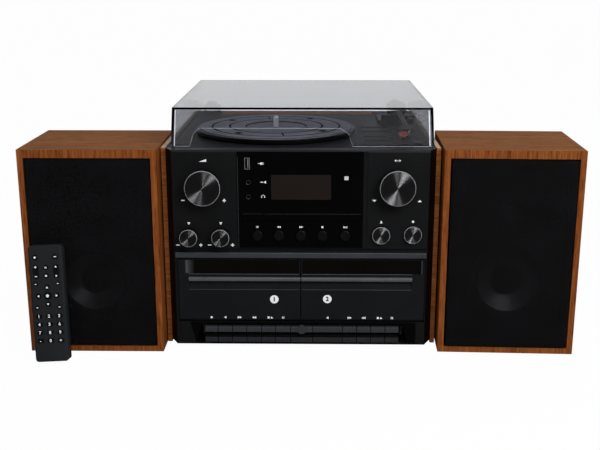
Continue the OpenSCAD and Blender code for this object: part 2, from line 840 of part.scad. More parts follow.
module round_button_5() {
    round_button(5);
}

// Disc tray with its front strip and the round recess for the disc
module cd_tray() {
    floor_z = 175;
    top_z = 180.2;
    centre = [2, -82];
    color([0.05, 0.05, 0.055]) {
        block(tray_x, [face - panel_proud - 0.8, face + 1.6], tray_z);
        difference() {
            block([-62, 66], [face + 1.6, -14], [floor_z, top_z]);
            rod_z(centre[0], centre[1], 60.5, [floor_z + 2.4, top_z + 1]);
            block([-14, 18], [-104, -24], [floor_z - 1, top_z + 1]);
        }
    }
}

// Side profile of a cassette door: a round foot on the hinge line, a flat front, the finger
// hollow under the half-round ridge, and the window's frame at the top
module door_profile(ridge) {
    back = face + 4.5;
    translate(door_axis) circle(4.5);
    if (ridge) {
        translate([face + 0.7, 95.35]) circle(3.3);
        polygon([
            [back, door_axis[1]], [face, door_axis[1]], [face, 81.4], [face + 0.5, 81.9],
            [face + 2.4, 92.8], [face + 1, 94], [face + 1, 97], [face, 98.3],
            [face, door_high], [back, door_high]
        ]);
    } else
        polygon([
            [back, door_axis[1]], [face, door_axis[1]], [face, door_high], [back, door_high]
        ]);
}

// Cassette door with the holder's two channels behind it and its hinge rod at the foot
module cassette_door(d) {
    x = door_x[d];
    cx = (x[0] + x[1]) / 2;
    ridge_x = d == 0 ? [ridge_ends[0], x[1]] : [x[0], ridge_ends[1]];
    plain_x = d == 0 ? [x[0], ridge_ends[0]] : [ridge_ends[1], x[1]];
    back = face + 4.5;
    color([0.11, 0.11, 0.12]) {
        difference() {
            union() {
                along_x(ridge_x) door_profile(true);
                along_x(plain_x) door_profile(false);
            }
            // Recess that the window lies in
            block([x[0] + 3, x[1] - 1.5], [face - 1, face + 0.6], [103.2, door_high - 0.6]);
            // Notches that leave the hinge rod bare for the brackets
            for (side = [-1, 1])
                block([cx + side * 66 - 4, cx + side * 66 + 4], [face + 1.5, face + 12],
                    [door_low - 1, door_axis[1] + 4.5]);
        }
        for (side = [-1, 1])
            rod_x(door_axis[0], door_axis[1], rod_r, [cx + side * 66 - 5, cx + side * 66 + 5]);
        // Holder channels for the edges of a cassette
        for (side = [-1, 1]) {
            wall_x = cx + side * 53;
            lip_x = cx + side * 49.5;
            block([wall_x - 1.2, wall_x + 1.2], [back, back + 14], [50, 108]);
            block([lip_x - 3.6, lip_x + 3.6], [back + 12.4, back + 14], [50, 108]);
        }
        block([cx - 54, cx + 54], [back, back + 14], [48, 50]);
    }
}

module cassette_door_1() {
    cassette_door(0);
}

module cassette_door_2() {
    cassette_door(1);
}

// Piano key: head in the bay, and an arm back to the common rod
module key(x) {
    cx = (x[0] + x[1]) / 2;
    color([0.15, 0.15, 0.16]) difference() {
        union() {
            along_x([x[0] + key_gap, x[1] - key_gap]) key_profile();
            block([cx - 4, cx + 4], [-139, key_rod[0]], [key_rod[1] - 4, key_rod[1] + 4]);
            rod_x(key_rod[0], key_rod[1], 4, [cx - 4, cx + 4]);
        }
        rod_x(key_rod[0], key_rod[1], key_rod_r + fit, [cx - 5, cx + 5]);
    }
}

module deck_1_key(i) {
    key([key_edges_1[i], key_edges_1[i + 1]]);
}

module deck_2_key(i) {
    key([key_edges_2[i], key_edges_2[i + 1]]);
}

module key_1_record() {
    deck_1_key(0);
}

module key_1_play() {
    deck_1_key(1);
}

module key_1_rewind() {
    deck_1_key(2);
}

module key_1_forward() {
    deck_1_key(3);
}

module key_1_stop() {
    deck_1_key(4);
}

module key_1_pause() {
    deck_1_key(5);
}

module key_2_play() {
    deck_2_key(0);
}

module key_2_rewind() {
    deck_2_key(1);
}

module key_2_forward() {
    deck_2_key(2);
}

module key_2_stop() {
    deck_2_key(3);
}

module key_2_pause() {
    deck_2_key(4);
}

// Frames of the two speakers: origin at the front lower left corner
module at_left() {
    translate([-unit_w / 2 - speaker_gap - speaker_w, left_y, 0]) children();
}

module at_right() {
    translate([unit_w / 2 + speaker_gap, right_y, 0]) rotate([0, 0, -right_turn]) children();
}

// Wooden cabinet with its baffle and the terminal plate at the back
module cabinet() {
    inner_x = [board_side, speaker_w - board_side];
    inner_z = [board_side, speaker_h - board_top];
    middle = speaker_w / 2;
    color([0.45, 0.28, 0.16]) {
        difference() {
            cube([speaker_w, speaker_d, speaker_h]);
            block(inner_x, [-1, baffle_y[0]], inner_z);
            block(inner_x, [baffle_y[1], speaker_d - 8], inner_z);
            rod_y(middle, woofer_z, 46, [5, baffle_y[1] + 2]);
            rod_y(middle, tweeter_z, 14, [5, baffle_y[1] + 2]);
            for (side = [-1, 1])
                rod_y(middle + side * 8, 70, 1.6, [speaker_d - 12, speaker_d + 4]);
        }
        difference() {
            block([middle - 20, middle + 20], [speaker_d, speaker_d + 2.5], [60, 92]);
            for (side = [-1, 1])
                rod_y(middle + side * 8, 70, 1.6, [speaker_d - 1, speaker_d + 4]);
        }
    }
}

module left_cabinet() {
    at_left() cabinet();
}

module right_cabinet() {
    at_right() cabinet();
}

// Grille: a thin board frame with a cross bar and cloth stretched over its front
module grille() {
    gap = 1.2;
    x = [board_side + gap, speaker_w - board_side - gap];
    z = [board_side + gap, speaker_h - board_top - gap];
    rail = 11;
    color([0.05, 0.05, 0.05]) {
        difference() {
            along_y([-2.4, 5]) round_rect(x, z, 3);
            block([x[0] + rail, x[1] - rail], [-1.4, 6], [z[0] + rail, 148]);
            block([x[0] + rail, x[1] - rail], [-1.4, 6], [156, z[1] - rail]);
        }
        // Pegs that stand on the baffle
        for (px = [x[0] + 6, x[1] - 6], pz = [z[0] + 6, z[1] - 6])
            rod_y(px, pz, 3, [5, baffle_y[0]]);
    }
}

module left_grille() {
    at_left() grille();
}

module right_grille() {
    at_right() grille();
}

// Woofer with its cone, magnet and flange, and the small tweeter above it
module drivers() {
    middle = speaker_w / 2;
    flange = baffle_y[0];
    color([0.1, 0.1, 0.1]) {
        translate([middle, flange, woofer_z]) rotate([-90, 0, 0]) rotate_extrude($fn = 96)
            polygon([
                [0, 22], [20, 22], [38, 3], [40, 0.6], [43, 0.6], [45, 3],
                [45, -0.2], [52, -0.2], [52, -2.6], [45.6, -2.6], [43, -3.4], [40, -3.4],
                [37.6, -1], [19.5, 12], [14, 4], [6, 1.2], [0, 0.4]
            ]);
        rod_y(middle, woofer_z, 20, [flange + 21, flange + 40]);
        rod_y(middle, woofer_z, 34, [flange + 40, flange + 56]);
        rod_y(middle, tweeter_z, 18, [flange - 2.2, flange]);
        rod_y(middle, tweeter_z, 13, [flange, flange + 18]);
    }
}

module left_drivers() {
    at_left() drivers();
}

module right_drivers() {
    at_right() drivers();
}

// Frame of the remote control: origin at the middle of its lower front edge
module at_remote() {
    translate([remote_foot[0], remote_y, remote_foot[1]])
        rotate([-remote_lean, 0, 0]) rotate([0, -remote_roll, 0]) children();
}

// Places of the remote's keys: columns from the middle and rows from the foot
remote_col = 12.8;
remote_rows = [for (i = [0 : 3]) remote_l - 89.9 - i * 10.45];

module remote_keys(grow) {
    y = [-0.9, 2];
    row_mid = remote_l - 64;
    r = 3 + grow;
    // Power and mode
    for (s = [-1, 1]) rod_y(s * remote_col, remote_l - 15, r, y);
    // Two tall rockers with two keys between them
    for (s = [-1, 1])
        along_y(y) round_rect([s * remote_col - 3 - grow, s * remote_col + 3 + grow],
            [remote_l - 42 - grow, remote_l - 25 + grow], 2.8);
    for (v = [28.2, 38.6]) rod_y(0, remote_l - v, r, y);
    // Ring of arrows round the middle key, with four small keys at its corners
    for (s = [-1, 1]) {
        rod_y(s * 11.5, row_mid, r, y);
        rod_y(0, row_mid + s * 10.7, r, y);
        rod_y(s * 14, row_mid + 15.1, 2.2 + grow, y);
        rod_y(s * 14, row_mid - 14.6, 2.2 + grow, y);
    }
    rod_y(0, row_mid, 4.6 + grow, y);
    // Number pad of four rows
    for (row = remote_rows, s = [-1, 0, 1])
        along_y(y) round_rect([s * remote_col - 3.6 - grow, s * remote_col + 3.6 + grow],
            [row - 2.4 - grow, row + 2.4 + grow], 2.2);
}

// Plastic case of the remote control, with a pocket and holes for the rubber keypad
module remote_shell() {
    half = remote_w / 2;
    color([0.04, 0.04, 0.045]) at_remote() difference() {
        intersection() {
            along_y([0, remote_t]) round_rect([-half, half], [0, remote_l], 6);
            along_x([-half, half]) round_rect([0, remote_t], [0, remote_l], 2.5);
            linear_extrude(remote_l) round_rect([-half, half], [0, remote_t], 4);
        }
        block([-18.6, 18.6], [1.5, 3.9], [20, remote_l - 9]);
        remote_keys(0.35);
    }
}

// Rubber keypad: one thin sheet with all the keys
module remote_keypad() {
    color([0.2, 0.2, 0.22]) at_remote() {
        block([-18.2, 18.2], [1.9, 3.5], [20.4, remote_l - 9.4]);
        remote_keys(0);
    }
}

base_chassis();
left_cheek();
right_cheek();
rear_panel();
front_panel();
display_panel();
lower_bezel();
turntable_deck();
main_board();
cd_mechanism();
cassette_mechanisms();
platter_motor();
arm_base();
front_sockets();
feet();
dust_cover();
platter();
platter_mat();
motor_pulley();
drive_belt();
arm_gimbal();
tonearm();
cartridge();
cue_lever();
speed_switch();
volume_knob();
volume_shaft();
select_knob();
select_shaft();
bass_knob();
treble_knob();
eject_button();
record_button();
round_button_1();
round_button_2();
round_button_3();
round_button_4();
round_button_5();
cd_tray();
cassette_door_1();
cassette_door_2();
key_1_record();
key_1_play();
key_1_rewind();
key_1_forward();
key_1_stop();
key_1_pause();
key_2_play();
key_2_rewind();
key_2_forward();
key_2_stop();
key_2_pause();
left_cabinet();
right_cabinet();
left_grille();
right_grille();
left_drivers();
right_drivers();
remote_shell();
remote_keypad();
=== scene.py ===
import math

import bmesh
import bpy
from mathutils import Matrix, Vector


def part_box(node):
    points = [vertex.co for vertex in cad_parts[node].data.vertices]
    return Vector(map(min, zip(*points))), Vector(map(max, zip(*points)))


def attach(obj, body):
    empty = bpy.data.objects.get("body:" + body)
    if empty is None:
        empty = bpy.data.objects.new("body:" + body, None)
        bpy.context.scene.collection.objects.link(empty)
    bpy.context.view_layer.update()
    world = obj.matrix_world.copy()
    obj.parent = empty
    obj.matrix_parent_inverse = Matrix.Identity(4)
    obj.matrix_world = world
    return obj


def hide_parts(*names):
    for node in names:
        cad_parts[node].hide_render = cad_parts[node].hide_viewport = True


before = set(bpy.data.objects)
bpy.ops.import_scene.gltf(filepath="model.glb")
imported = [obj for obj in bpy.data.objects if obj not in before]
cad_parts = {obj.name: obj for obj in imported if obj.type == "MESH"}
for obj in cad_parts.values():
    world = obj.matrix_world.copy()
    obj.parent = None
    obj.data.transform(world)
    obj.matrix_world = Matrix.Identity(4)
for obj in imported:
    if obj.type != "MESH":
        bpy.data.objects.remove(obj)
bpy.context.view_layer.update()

bl_info = {
    "name": "Stereo music centre",
    "version": (1, 0, 0),
    "blender": (4, 5, 0),
    "location": "3D View > Sidebar > Music centre",
    "description": "Finishes the pieces of a stereo music centre on its CAD frame",
    "category": "Object",
}

MM = 0.001
SIDES = ("left", "right")

# Places read from the frame. The trim bar stands 2.4 mm in front of the flat front.
FRONT_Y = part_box("front_panel")[0].y + 2.4 * MM
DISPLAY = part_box("display_panel")
DECK_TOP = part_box("left_cheek")[1].z

# Share of a normal past which a face counts as looking along that axis
ALONG = 0.7

# Wooden box of a speaker, and how far the right one stands turned
SPEAKER_WIDTH = 173.3 * MM
SPEAKER_DEPTH = 148.0 * MM
RIGHT_TURN = math.radians(-2)

# Share that each of the grille cloth's two faces lets through, to the eye and to a lamp
CLOTH_OPENNESS = 0.2
CLOTH_LIGHT = 0.9

# Where the slope at the outer end of the first door's window, with its painted sheen, begins and
# ends
WINDOW_GLOW = (-0.1490, -0.1320)

# Raised prints: how far they stand out of their face, and how far they are let into it
PRINT_PROUD = 0.12 * MM
PRINT_SUNK = 0.02 * MM

# Angle past which an edge stays sharp
SMOOTH_ANGLE = math.radians(32)

# How white the camera sees the floor, and the strength of the studio's soft light
FLOOR_WHITE = 0.97
WORLD_LIGHT = 0.55
# Name, place, size and watts of each softbox, and the point they are aimed at
LAMPS = (
    ("top_softbox", (0.05, -1.2, 1.6), (0.5, 0.6), 4.2),
    ("side_softbox", (0.85, -1.1, 1.1), (0.7, 0.6), 11.5),
)
LAMP_AIM = Vector((0, -0.05, 0.15))

# Camera fitted to the photograph's straight edges; it is turned by yaw, pitch and roll, in degrees
FOCAL_PIXELS = 933.0
PHOTO_WIDTH = 600.0
SENSOR_MM = 36.0
CAMERA_PLACE = (0.018, -1.295, 0.479)
CAMERA_TURN = (-0.933, 15.192, -0.047)

MATERIALS = {}


def box_centre(node):
    """Middle of a CAD node's box."""
    low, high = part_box(node)
    return (low + high) / 2


def in_metres(points, start=(0, 0)):
    """Pairs in mm as pairs in metres, counted from a starting pair in metres."""
    return [(start[0] + u * MM, start[1] + v * MM) for u, v in points]


# Colour and node helpers

def srgb(code):
    """Linear colour from an sRGB hex value such as 8A5A33."""
    channels = [int(code[i:i + 2], 16) / 255 for i in (0, 2, 4)]
    linear = [c / 12.92 if c <= 0.04045 else ((c + 0.055) / 1.055) ** 2.4 for c in channels]
    return (*linear, 1.0)


def around(code, darker, lighter):
    """A darker and a lighter tone of one colour."""
    base = Vector(srgb(code)[:3])
    return [(*(base * share), 1) for share in (darker, lighter)]


def add_node(tree, kind, inputs=None, stops=(), into=None, **settings):
    """Adds one node: its settings, its inputs as values or links, its colour stops, its target."""
    made = tree.nodes.new(kind)
    for key, value in settings.items():
        setattr(made, key, value)
    for key, value in (inputs or {}).items():
        if isinstance(value, bpy.types.NodeSocket):
            tree.links.new(value, made.inputs[key])
        else:
            made.inputs[key].default_value = value
    stops = list(stops)
    elements = made.color_ramp.elements if stops else ()
    while len(elements) < len(stops):
        elements.new(0.5)
    for element, (place, colour) in zip(elements, stops):
        element.position = place
        element.color = colour
    if into:
        tree.links.new(made.outputs[0], into)
    return made


def new_material(name, values):
    """Material with a shader of the given values: itself, its tree, shader and output."""
    made = bpy.data.materials.new(name)
    made.use_nodes = True
    tree = made.node_tree
    tree.nodes.clear()
    shader = add_node(tree, "ShaderNodeBsdfPrincipled", values)
    output = add_node(tree, "ShaderNodeOutputMaterial", {0: shader.outputs[0]})
    return made, tree, shader, output


def object_pattern(tree, period_mm):
    """Object coordinates in which one unit is the period, in mm: one number, or one per axis."""
    periods = period_mm if isinstance(period_mm, (list, tuple)) else [period_mm] * 3
    place = add_node(tree, "ShaderNodeTexCoord")
    return add_node(tree, "ShaderNodeMapping", {
        "Vector": place.outputs["Object"],
        "Scale": tuple(1 / (p * MM) for p in periods)}).outputs[0]


def mottled(tree, shader, period_mm, tones, detail=2.0):
    """Base colour that drifts between two tones over patches of a real size."""
    noise = add_node(tree, "ShaderNodeTexNoise", {
        "Vector": object_pattern(tree, period_mm), "Scale": 1.0, "Detail": detail})
    return add_node(tree, "ShaderNodeValToRGB", {"Fac": noise.outputs["Fac"]},
                    zip((0.3, 0.7), tones), shader.inputs["Base Color"]).outputs["Color"]


def grit(tree, shader, grit_mm, strength):
    """Fine moulded texture in a shader's normal."""
    noise = add_node(tree, "ShaderNodeTexNoise", {
        "Vector": object_pattern(tree, grit_mm), "Scale": 1.0, "Detail": 2.0})
    add_node(tree, "ShaderNodeBump", {
        "Height": noise.outputs["Fac"], "Strength": strength, "Distance": 0.02 * MM},
        into=shader.inputs["Normal"])


def smudge(tree, shader, base, spread, period_mm=60):
    """Roughness that drifts a little over the surface, as handling leaves it."""
    noise = add_node(tree, "ShaderNodeTexNoise", {
        "Vector": object_pattern(tree, period_mm), "Scale": 1.0, "Detail": 3.0})
    add_node(tree, "ShaderNodeMapRange", {
        "Value": noise.outputs["Fac"], "From Min": 0.3, "From Max": 0.7,
        "To Min": base - spread, "To Max": base + spread}, into=shader.inputs["Roughness"])


# Materials

def walnut_foil(name, grain_axis, shades, specular=0.04):
    """Walnut-coloured foil on board: brown figure drawn along the grain, with fine dark pores."""
    made, tree, shader, _ = new_material(name, {
        "Roughness": 0.55, "Specular IOR Level": specular})
    # Pores are finer than this on the real foil, but would not show at the picture's size
    figure_mm, pore_mm = [4.0] * 3, [1.6] * 3
    figure_mm[grain_axis], pore_mm[grain_axis] = 120.0, 26.0
    figure = add_node(tree, "ShaderNodeTexNoise", {
        "Vector": object_pattern(tree, figure_mm), "Scale": 1.0, "Detail": 7.0,
        "Roughness": 0.62, "Distortion": 0.6})
    pores = add_node(tree, "ShaderNodeTexNoise", {
        "Vector": object_pattern(tree, pore_mm), "Scale": 1.0, "Detail": 4.0, "Roughness": 0.7})
    brown = add_node(tree, "ShaderNodeValToRGB", {"Fac": figure.outputs["Fac"]},
                     zip((0.32, 0.5, 0.68), map(srgb, shades)))
    dark = add_node(tree, "ShaderNodeValToRGB", {"Fac": pores.outputs["Fac"]},
                    zip((0.38, 0.52), map(srgb, ("BCAA9A", "FFFFFF"))))
    # Inputs 6 and 7 are the colours: they share their names with the node's number sockets
    mixed = add_node(tree, "ShaderNodeMix", {0: 1.0, 6: brown.outputs[0], 7: dark.outputs[0]},
                     data_type="RGBA", blend_type="MULTIPLY")
    tree.links.new(mixed.outputs[2], shader.inputs["Base Color"])
    add_node(tree, "ShaderNodeBump", {
        "Height": pores.outputs["Fac"], "Strength": 0.25, "Distance": 0.1 * MM},
        into=shader.inputs["Normal"])
    return made


def raw_board():
    """Uncovered edge of particle board: pale tan with a coarse fleck."""
    made, tree, shader, _ = new_material("raw_particle_board_edge", {"Roughness": 0.8})
    mottled(tree, shader, (1.5, 4.0, 1.5), map(srgb, ("8C7358", "C9B294")), 5.0)
    return made


def moulded_plastic(name, colour, roughness, strength=0.25, specular=0.3):
    """Injection-moulded ABS with a fine spark texture: a soft dull sheen."""
    made, tree, shader, _ = new_material(name, {"Specular IOR Level": specular})
    mottled(tree, shader, 35, around(colour, 0.9, 1.1), 4.0)
    smudge(tree, shader, roughness, 0.04)
    grit(tree, shader, 0.9, strength)
    return made


def polished_plastic(name, colour, roughness, specular):
    """Polished acrylic or ABS: deep and glossy, with faint wipe marks."""
    made, tree, shader, _ = new_material(name, {"Specular IOR Level": specular})
    mottled(tree, shader, 80, around(colour, 0.92, 1.08))
    smudge(tree, shader, roughness, 0.02, 40)
    return made


def spun_aluminium(name, colour, roughness):
    """Face-turned aluminium: rings of tool marks that fan the light out into wedges."""
    made, tree, shader, _ = new_material(name, {
        "Base Color": srgb(colour), "Metallic": 1.0, "Anisotropic": 1.0})
    outward = add_node(tree, "ShaderNodeAttribute", attribute_name="outward",
                       attribute_type="GEOMETRY")
    add_node(tree, "ShaderNodeVectorTransform", {0: outward.outputs["Vector"]},
             into=shader.inputs["Tangent"], vector_type="VECTOR", convert_from="OBJECT",
             convert_to="WORLD")
    smudge(tree, shader, roughness, 0.015, 4)
    return made


def bright_metal(name, colour, roughness, metallic=1.0):
    """Plated or polished metal, with fine handling marks in its roughness."""
    made, tree, shader, _ = new_material(name, {
        "Base Color": srgb(colour), "Metallic": metallic})
    smudge(tree, shader, roughness, 0.04, 5)
    return made


def moulded_rubber(name, colour, roughness=0.75, specular=0.15):
    """Black rubber: matt, with a slight bloom."""
    made, tree, shader, _ = new_material(name, {
        "Roughness": roughness, "Specular IOR Level": specular})
    mottled(tree, shader, 20, around(colour, 0.85, 1.2), 4.0)
    grit(tree, shader, 0.8, 0.2)
    return made


def printed_ink(name, colour):
    """Screen-printed ink: flat and pale, with slightly uneven cover."""
    made, tree, shader, _ = new_material(name, {"Roughness": 0.55})
    mottled(tree, shader, 2, around(colour, 0.92, 1.0))
    return made


def smoked_acrylic(name, tint):
    """Smoked clear acrylic sheet: it darkens what is behind it and mirrors the room at a slant."""
    made, tree, shader, output = new_material(name, {
        "Base Color": srgb(tint), "Roughness": 0.0, "IOR": 1.49, "Transmission Weight": 1.0})
    # Lamps shine through to what is under the lid
    clear = add_node(tree, "ShaderNodeBsdfTransparent", {"Color": srgb(tint)})
    path = add_node(tree, "ShaderNodeLightPath")
    add_node(tree, "ShaderNodeMixShader", {
        0: path.outputs["Is Shadow Ray"], 1: shader.outputs[0], 2: clear.outputs[0]},
        into=output.inputs[0])
    return made


def acrylic_edge(name, tones, glow):
    """Cut and flame-polished acrylic edge with a painted glow: a faint emission makes it show
    bright, as the light it gathers does.
    """
    made, tree, shader, _ = new_material(name, {"Roughness": 0.15, "Emission Strength": glow})
    colour = mottled(tree, shader, 9, map(srgb, tones))
    tree.links.new(colour, shader.inputs["Emission Color"])
    return made


def grille_cloth_material():
    """Black knitted grille cloth: fine ribs of yarn, thin enough to show the woofer faintly."""
    made, tree, shader, output = new_material("black_knitted_grille_cloth", {
        "Roughness": 0.85, "Specular IOR Level": 0.05})
    mottled(tree, shader, 25, map(srgb, ("0B0B0C", "101012")), 4.0)
    # The knit is about 0.6 mm; it is drawn at 1.2 mm so that it shows in the picture
    knit = 1.2 * MM
    place = add_node(tree, "ShaderNodeTexCoord")
    threads = add_node(tree, "ShaderNodeMapping", {
        "Vector": place.outputs["UV"], "Scale": (1 / knit, 1 / knit, 1.0)})
    yarn = add_node(tree, "ShaderNodeTexVoronoi", {
        "Vector": threads.outputs[0], "Scale": 1.0, "Randomness": 0.35})
    add_node(tree, "ShaderNodeBump", {
        "Height": yarn.outputs["Distance"], "Strength": 0.5, "Distance": 0.2 * MM},
        into=shader.inputs["Normal"])
    clear = add_node(tree, "ShaderNodeBsdfTransparent")
    path = add_node(tree, "ShaderNodeLightPath")
    openness = add_node(tree, "ShaderNodeMapRange", {
        "Value": path.outputs["Is Shadow Ray"], "To Min": CLOTH_OPENNESS, "To Max": CLOTH_LIGHT})
    add_node(tree, "ShaderNodeMixShader", {
        0: openness.outputs[0], 1: shader.outputs[0], 2: clear.outputs[0]},
        into=output.inputs[0])
    return made


def sloped_window():
    """Dark window whose sloped end has a painted sheen, from pale at its outer side to black."""
    made, tree, shader, _ = new_material("dark_window_painted_sheen", {
        "Roughness": 0.25, "Specular IOR Level": 0.2})
    place = add_node(tree, "ShaderNodeTexCoord")
    split = add_node(tree, "ShaderNodeSeparateXYZ", {0: place.outputs["Object"]})
    across = add_node(tree, "ShaderNodeMapRange", {
        "Value": split.outputs["X"], "From Min": WINDOW_GLOW[0], "From Max": WINDOW_GLOW[1]})
    tones = map(srgb, ("1A1B1D", "4A4C50", "333437", "1A1B1C", "080706"))
    add_node(tree, "ShaderNodeValToRGB", {"Fac": across.outputs[0]},
             zip((0.0, 0.1, 0.3, 0.6, 1.0), tones), shader.inputs["Base Color"])
    return made


def red_stylus_plastic():
    """Clear red plastic of the stylus holder: dark red with light inside it."""
    made, tree, shader, _ = new_material("clear_red_plastic", {
        "Roughness": 0.15, "Transmission Weight": 0.3})
    mottled(tree, shader, 6, map(srgb, ("6A1010", "8C1614")))
    return made


def solder_mask():
    """Green circuit board: copper tracks show as paler lines under the glossy mask."""
    made, tree, shader, _ = new_material("circuit_board_solder_mask", {"Roughness": 0.35})
    tracks = add_node(tree, "ShaderNodeTexVoronoi", {
        "Vector": object_pattern(tree, 6), "Scale": 1.0}, distance="MANHATTAN")
    add_node(tree, "ShaderNodeValToRGB", {"Fac": tracks.outputs["Distance"]},
             zip((0.3, 0.4), map(srgb, ("1C5A34", "123E24"))), shader.inputs["Base Color"])
    return made


def make_materials():
    """All finishes, by the names that the pieces ask for."""
    look = bpy.context.scene.music_centre_colours
    MATERIALS.update({
        # Printed foil with its grain up, across or along an edge, and board left bare. The edge
        # band is painted lighter: painted light
        "foil_upright": walnut_foil("walnut_foil_upright", 2, ("6E3B18", "824822", "955829")),
        "foil_across": walnut_foil("walnut_foil_across", 0, ("6E4222", "82522C", "946238"), 0.012),
        "foil_band_painted_light": walnut_foil("walnut_edge_band_painted_light", 0, ("8A5028", "9E6034", "B06E3C")),
        "raw_board": raw_board(),
        # Spark-textured ABS: dull blacks; darker copies paint shade on side faces and in hollows,
        # and are the arm's own black
        "moulding": moulded_plastic("black_moulded_abs", look.moulding, 0.48),
        "black_and_shade_moulding": moulded_plastic("deep_black_abs_and_painted_shade", "050506", 0.45, specular=0.06),
        "hollow": moulded_plastic("deep_black_abs_and_painted_hollow_shade", "060607", 0.5, specular=0.05),
        "door": moulded_plastic("black_door_abs", "16171A", 0.42, specular=0.25),
        "deck": moulded_plastic("black_moulded_abs_deck", "202023", 0.42, specular=0.008),
        "knob_side": moulded_plastic("black_knob_side", "0A0A0B", 0.4, specular=0.15),
        "remote": moulded_plastic("black_remote_abs", "222427", 0.45, 0.15, 0.2),
        "inner": moulded_plastic("grey_inner_plastic", "55565A", 0.5),
        # Satin ABS: greys that catch a soft light along their edges. The ridge and the door ledges
        # are painted paler: painted highlights
        "trim": moulded_plastic("grey_satin_trim_and_painted_highlight", look.trim, 0.35, 0.1),
        "key": moulded_plastic("dark_grey_key_abs", "323437", 0.35, 0.15),
        "key_lip": moulded_plastic("dark_key_lip_abs", "27282B", 0.4, 0.15),
        "tray": moulded_plastic("dark_grey_tray_abs", "2C2D30", 0.4, 0.15),
        "ridge": moulded_plastic("grey_ridge_painted_highlight", "4C4E51", 0.3, 0.1, 0.4),
        # Polished plastic: deep blacks that mirror the room; pale slanted edges are painted
        # highlights and sheen, end-on lid edges painted shade
        "panel": polished_plastic("black_acrylic_panel", "060606", 0.12, 0.06),
        "window": polished_plastic("dark_door_window", "0B0A09", 0.1, 0.08),
        "window_glow": sloped_window(),
        "lens": polished_plastic("display_lens", "201B18", 0.14, 0.12),
        "button": polished_plastic("black_round_button", "0E0F10", 0.3, 0.2),
        "chamfer": polished_plastic("panel_chamfer", "141516", 0.3, 0.3),
        "painted_highlight_chamfer": polished_plastic("pale_chamfer_painted_highlight", "34353A", 0.25, 0.5),
        "platter": polished_plastic("black_platter_abs", "08080A", 0.3, 0.06),
        "lid_shade": polished_plastic("smoked_edge_painted_shade", "16171A", 0.2, 0.3),
        "red_cap": polished_plastic("red_terminal_cap", "A01A18", 0.3, 0.5),
        "white_cap": polished_plastic("white_socket_collar", "D8D8D4", 0.3, 0.4),
        "grey_cap": polished_plastic("grey_terminal_cap", "4A4B4E", 0.35, 0.4),
        # Metal: wedges of light on spun faces, bright rims, plated steel and plated sockets
        "knob_face": spun_aluminium("spun_aluminium_face", look.knob, 0.31),
        "knob_rim": bright_metal("polished_knob_rim", "D0D0D4", 0.32, 0.68),
        "steel": bright_metal("polished_steel", "D4D4D6", 0.36),
        "spindle": bright_metal("bright_turned_spindle", "D8D8DC", 0.3, 0.4),
        "zinc": bright_metal("zinc_plated_steel", "A8A8A4", 0.35),
        "socket_shell": bright_metal("dull_nickel_shell", "8A8A8E", 0.4, 0.4),
        "brass": bright_metal("turned_brass", "C8A050", 0.25),
        "gold": bright_metal("gold_plated_socket", "C9A24A", 0.25),
        "cone": bright_metal("metal_coated_paper_cone", "B2B2B8", 0.35, 0.8),
        # Rubber: matt, and darker where the mat is printed; its cut rings are darkened too:
        # painted shade
        "mat": moulded_rubber("ribbed_mat_rubber", "707076", specular=0.05),
        "mat_marks_and_shade": moulded_rubber("dark_mat_marks_and_painted_groove_shade", "060606", specular=0.001),
        "rubber": moulded_rubber("soft_black_rubber", "161616"),
        "surround": moulded_rubber("foam_rubber_surround", "1C1C1E", 0.6),
        "keypad": moulded_rubber("remote_key_rubber", "0C0D0E", 0.6),
        # Ink: flat and pale, or dark on a white disc
        "ink": printed_ink("white_ink", "F2F2F4"),
        "dim_ink": printed_ink("pale_grey_ink", "C4C5C8"),
        "dark_ink": printed_ink("dark_ink", "1A1A1C"),
        # Smoked acrylic: a grey top, clearer walls, and cut edges with a painted glow
        "lid": smoked_acrylic("smoked_clear_acrylic", "A6A9B0"),
        "lid_wall": smoked_acrylic("smoked_clear_acrylic_wall", "E0E1E6"),
        "lid_edge": acrylic_edge("acrylic_edge_painted_glow", ("9C9CA2", "C4C4CA"), 0.12),
        "lid_corner": acrylic_edge("acrylic_corner_painted_glow", ("D8D8DE", "F4F4FA"), 0.25),
        "cloth": grille_cloth_material(),
        "red": red_stylus_plastic(),
        "board": solder_mask(),
    })


# Mesh helpers

def as_mesh(bm, name):
    """Plain mesh of a bmesh, which is freed."""
    mesh = bpy.data.meshes.new(name)
    bm.to_mesh(mesh)
    bm.free()
    return mesh


def finish_mesh(name, bm, materials, body, replaces=()):
    """Turns a bmesh into a piece at the origin that rides a body."""
    return finish_piece(name, as_mesh(bm, name), materials, body, replaces)


def finish_piece(name, mesh, materials, body, replaces=()):
    """Shades a mesh, gives it its materials and links it as a piece on a body."""
    mesh = flat_faced(mesh)
    mesh.name = name
    while len(mesh.materials) < len(materials):
        mesh.materials.append(None)
    for i, key in enumerate(materials):
        mesh.materials[i] = MATERIALS[key]
    piece = bpy.data.objects.new(name, mesh)
    bpy.context.collection.objects.link(piece)
    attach(piece, body)
    if replaces:
        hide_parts(*replaces)
    return piece


def flat_faced(mesh):
    """Smooth shading in which wide flat faces beside narrow roundings stay flat."""
    mesh.polygons.foreach_set("use_smooth", [True] * len(mesh.polygons))
    mesh.set_sharp_from_angle(angle=SMOOTH_ANGLE)
    held = scratch_object("shaded", mesh)
    weighting = held.modifiers.new("weighting", "WEIGHTED_NORMAL")
    weighting.mode = "FACE_AREA"
    weighting.keep_sharp = True
    apply_modifiers(held)
    return drop_object(held)


def evaluated_mesh(made):
    """New plain mesh of an object with its modifiers applied."""
    graph = bpy.context.evaluated_depsgraph_get()
    graph.update()
    return bpy.data.meshes.new_from_object(made.evaluated_get(graph))


def apply_modifiers(piece):
    """Turns a piece's modifiers into its plain mesh."""
    baked = evaluated_mesh(piece)
    piece.modifiers.clear()
    old = piece.data
    piece.data = baked
    bpy.data.meshes.remove(old)
    return baked


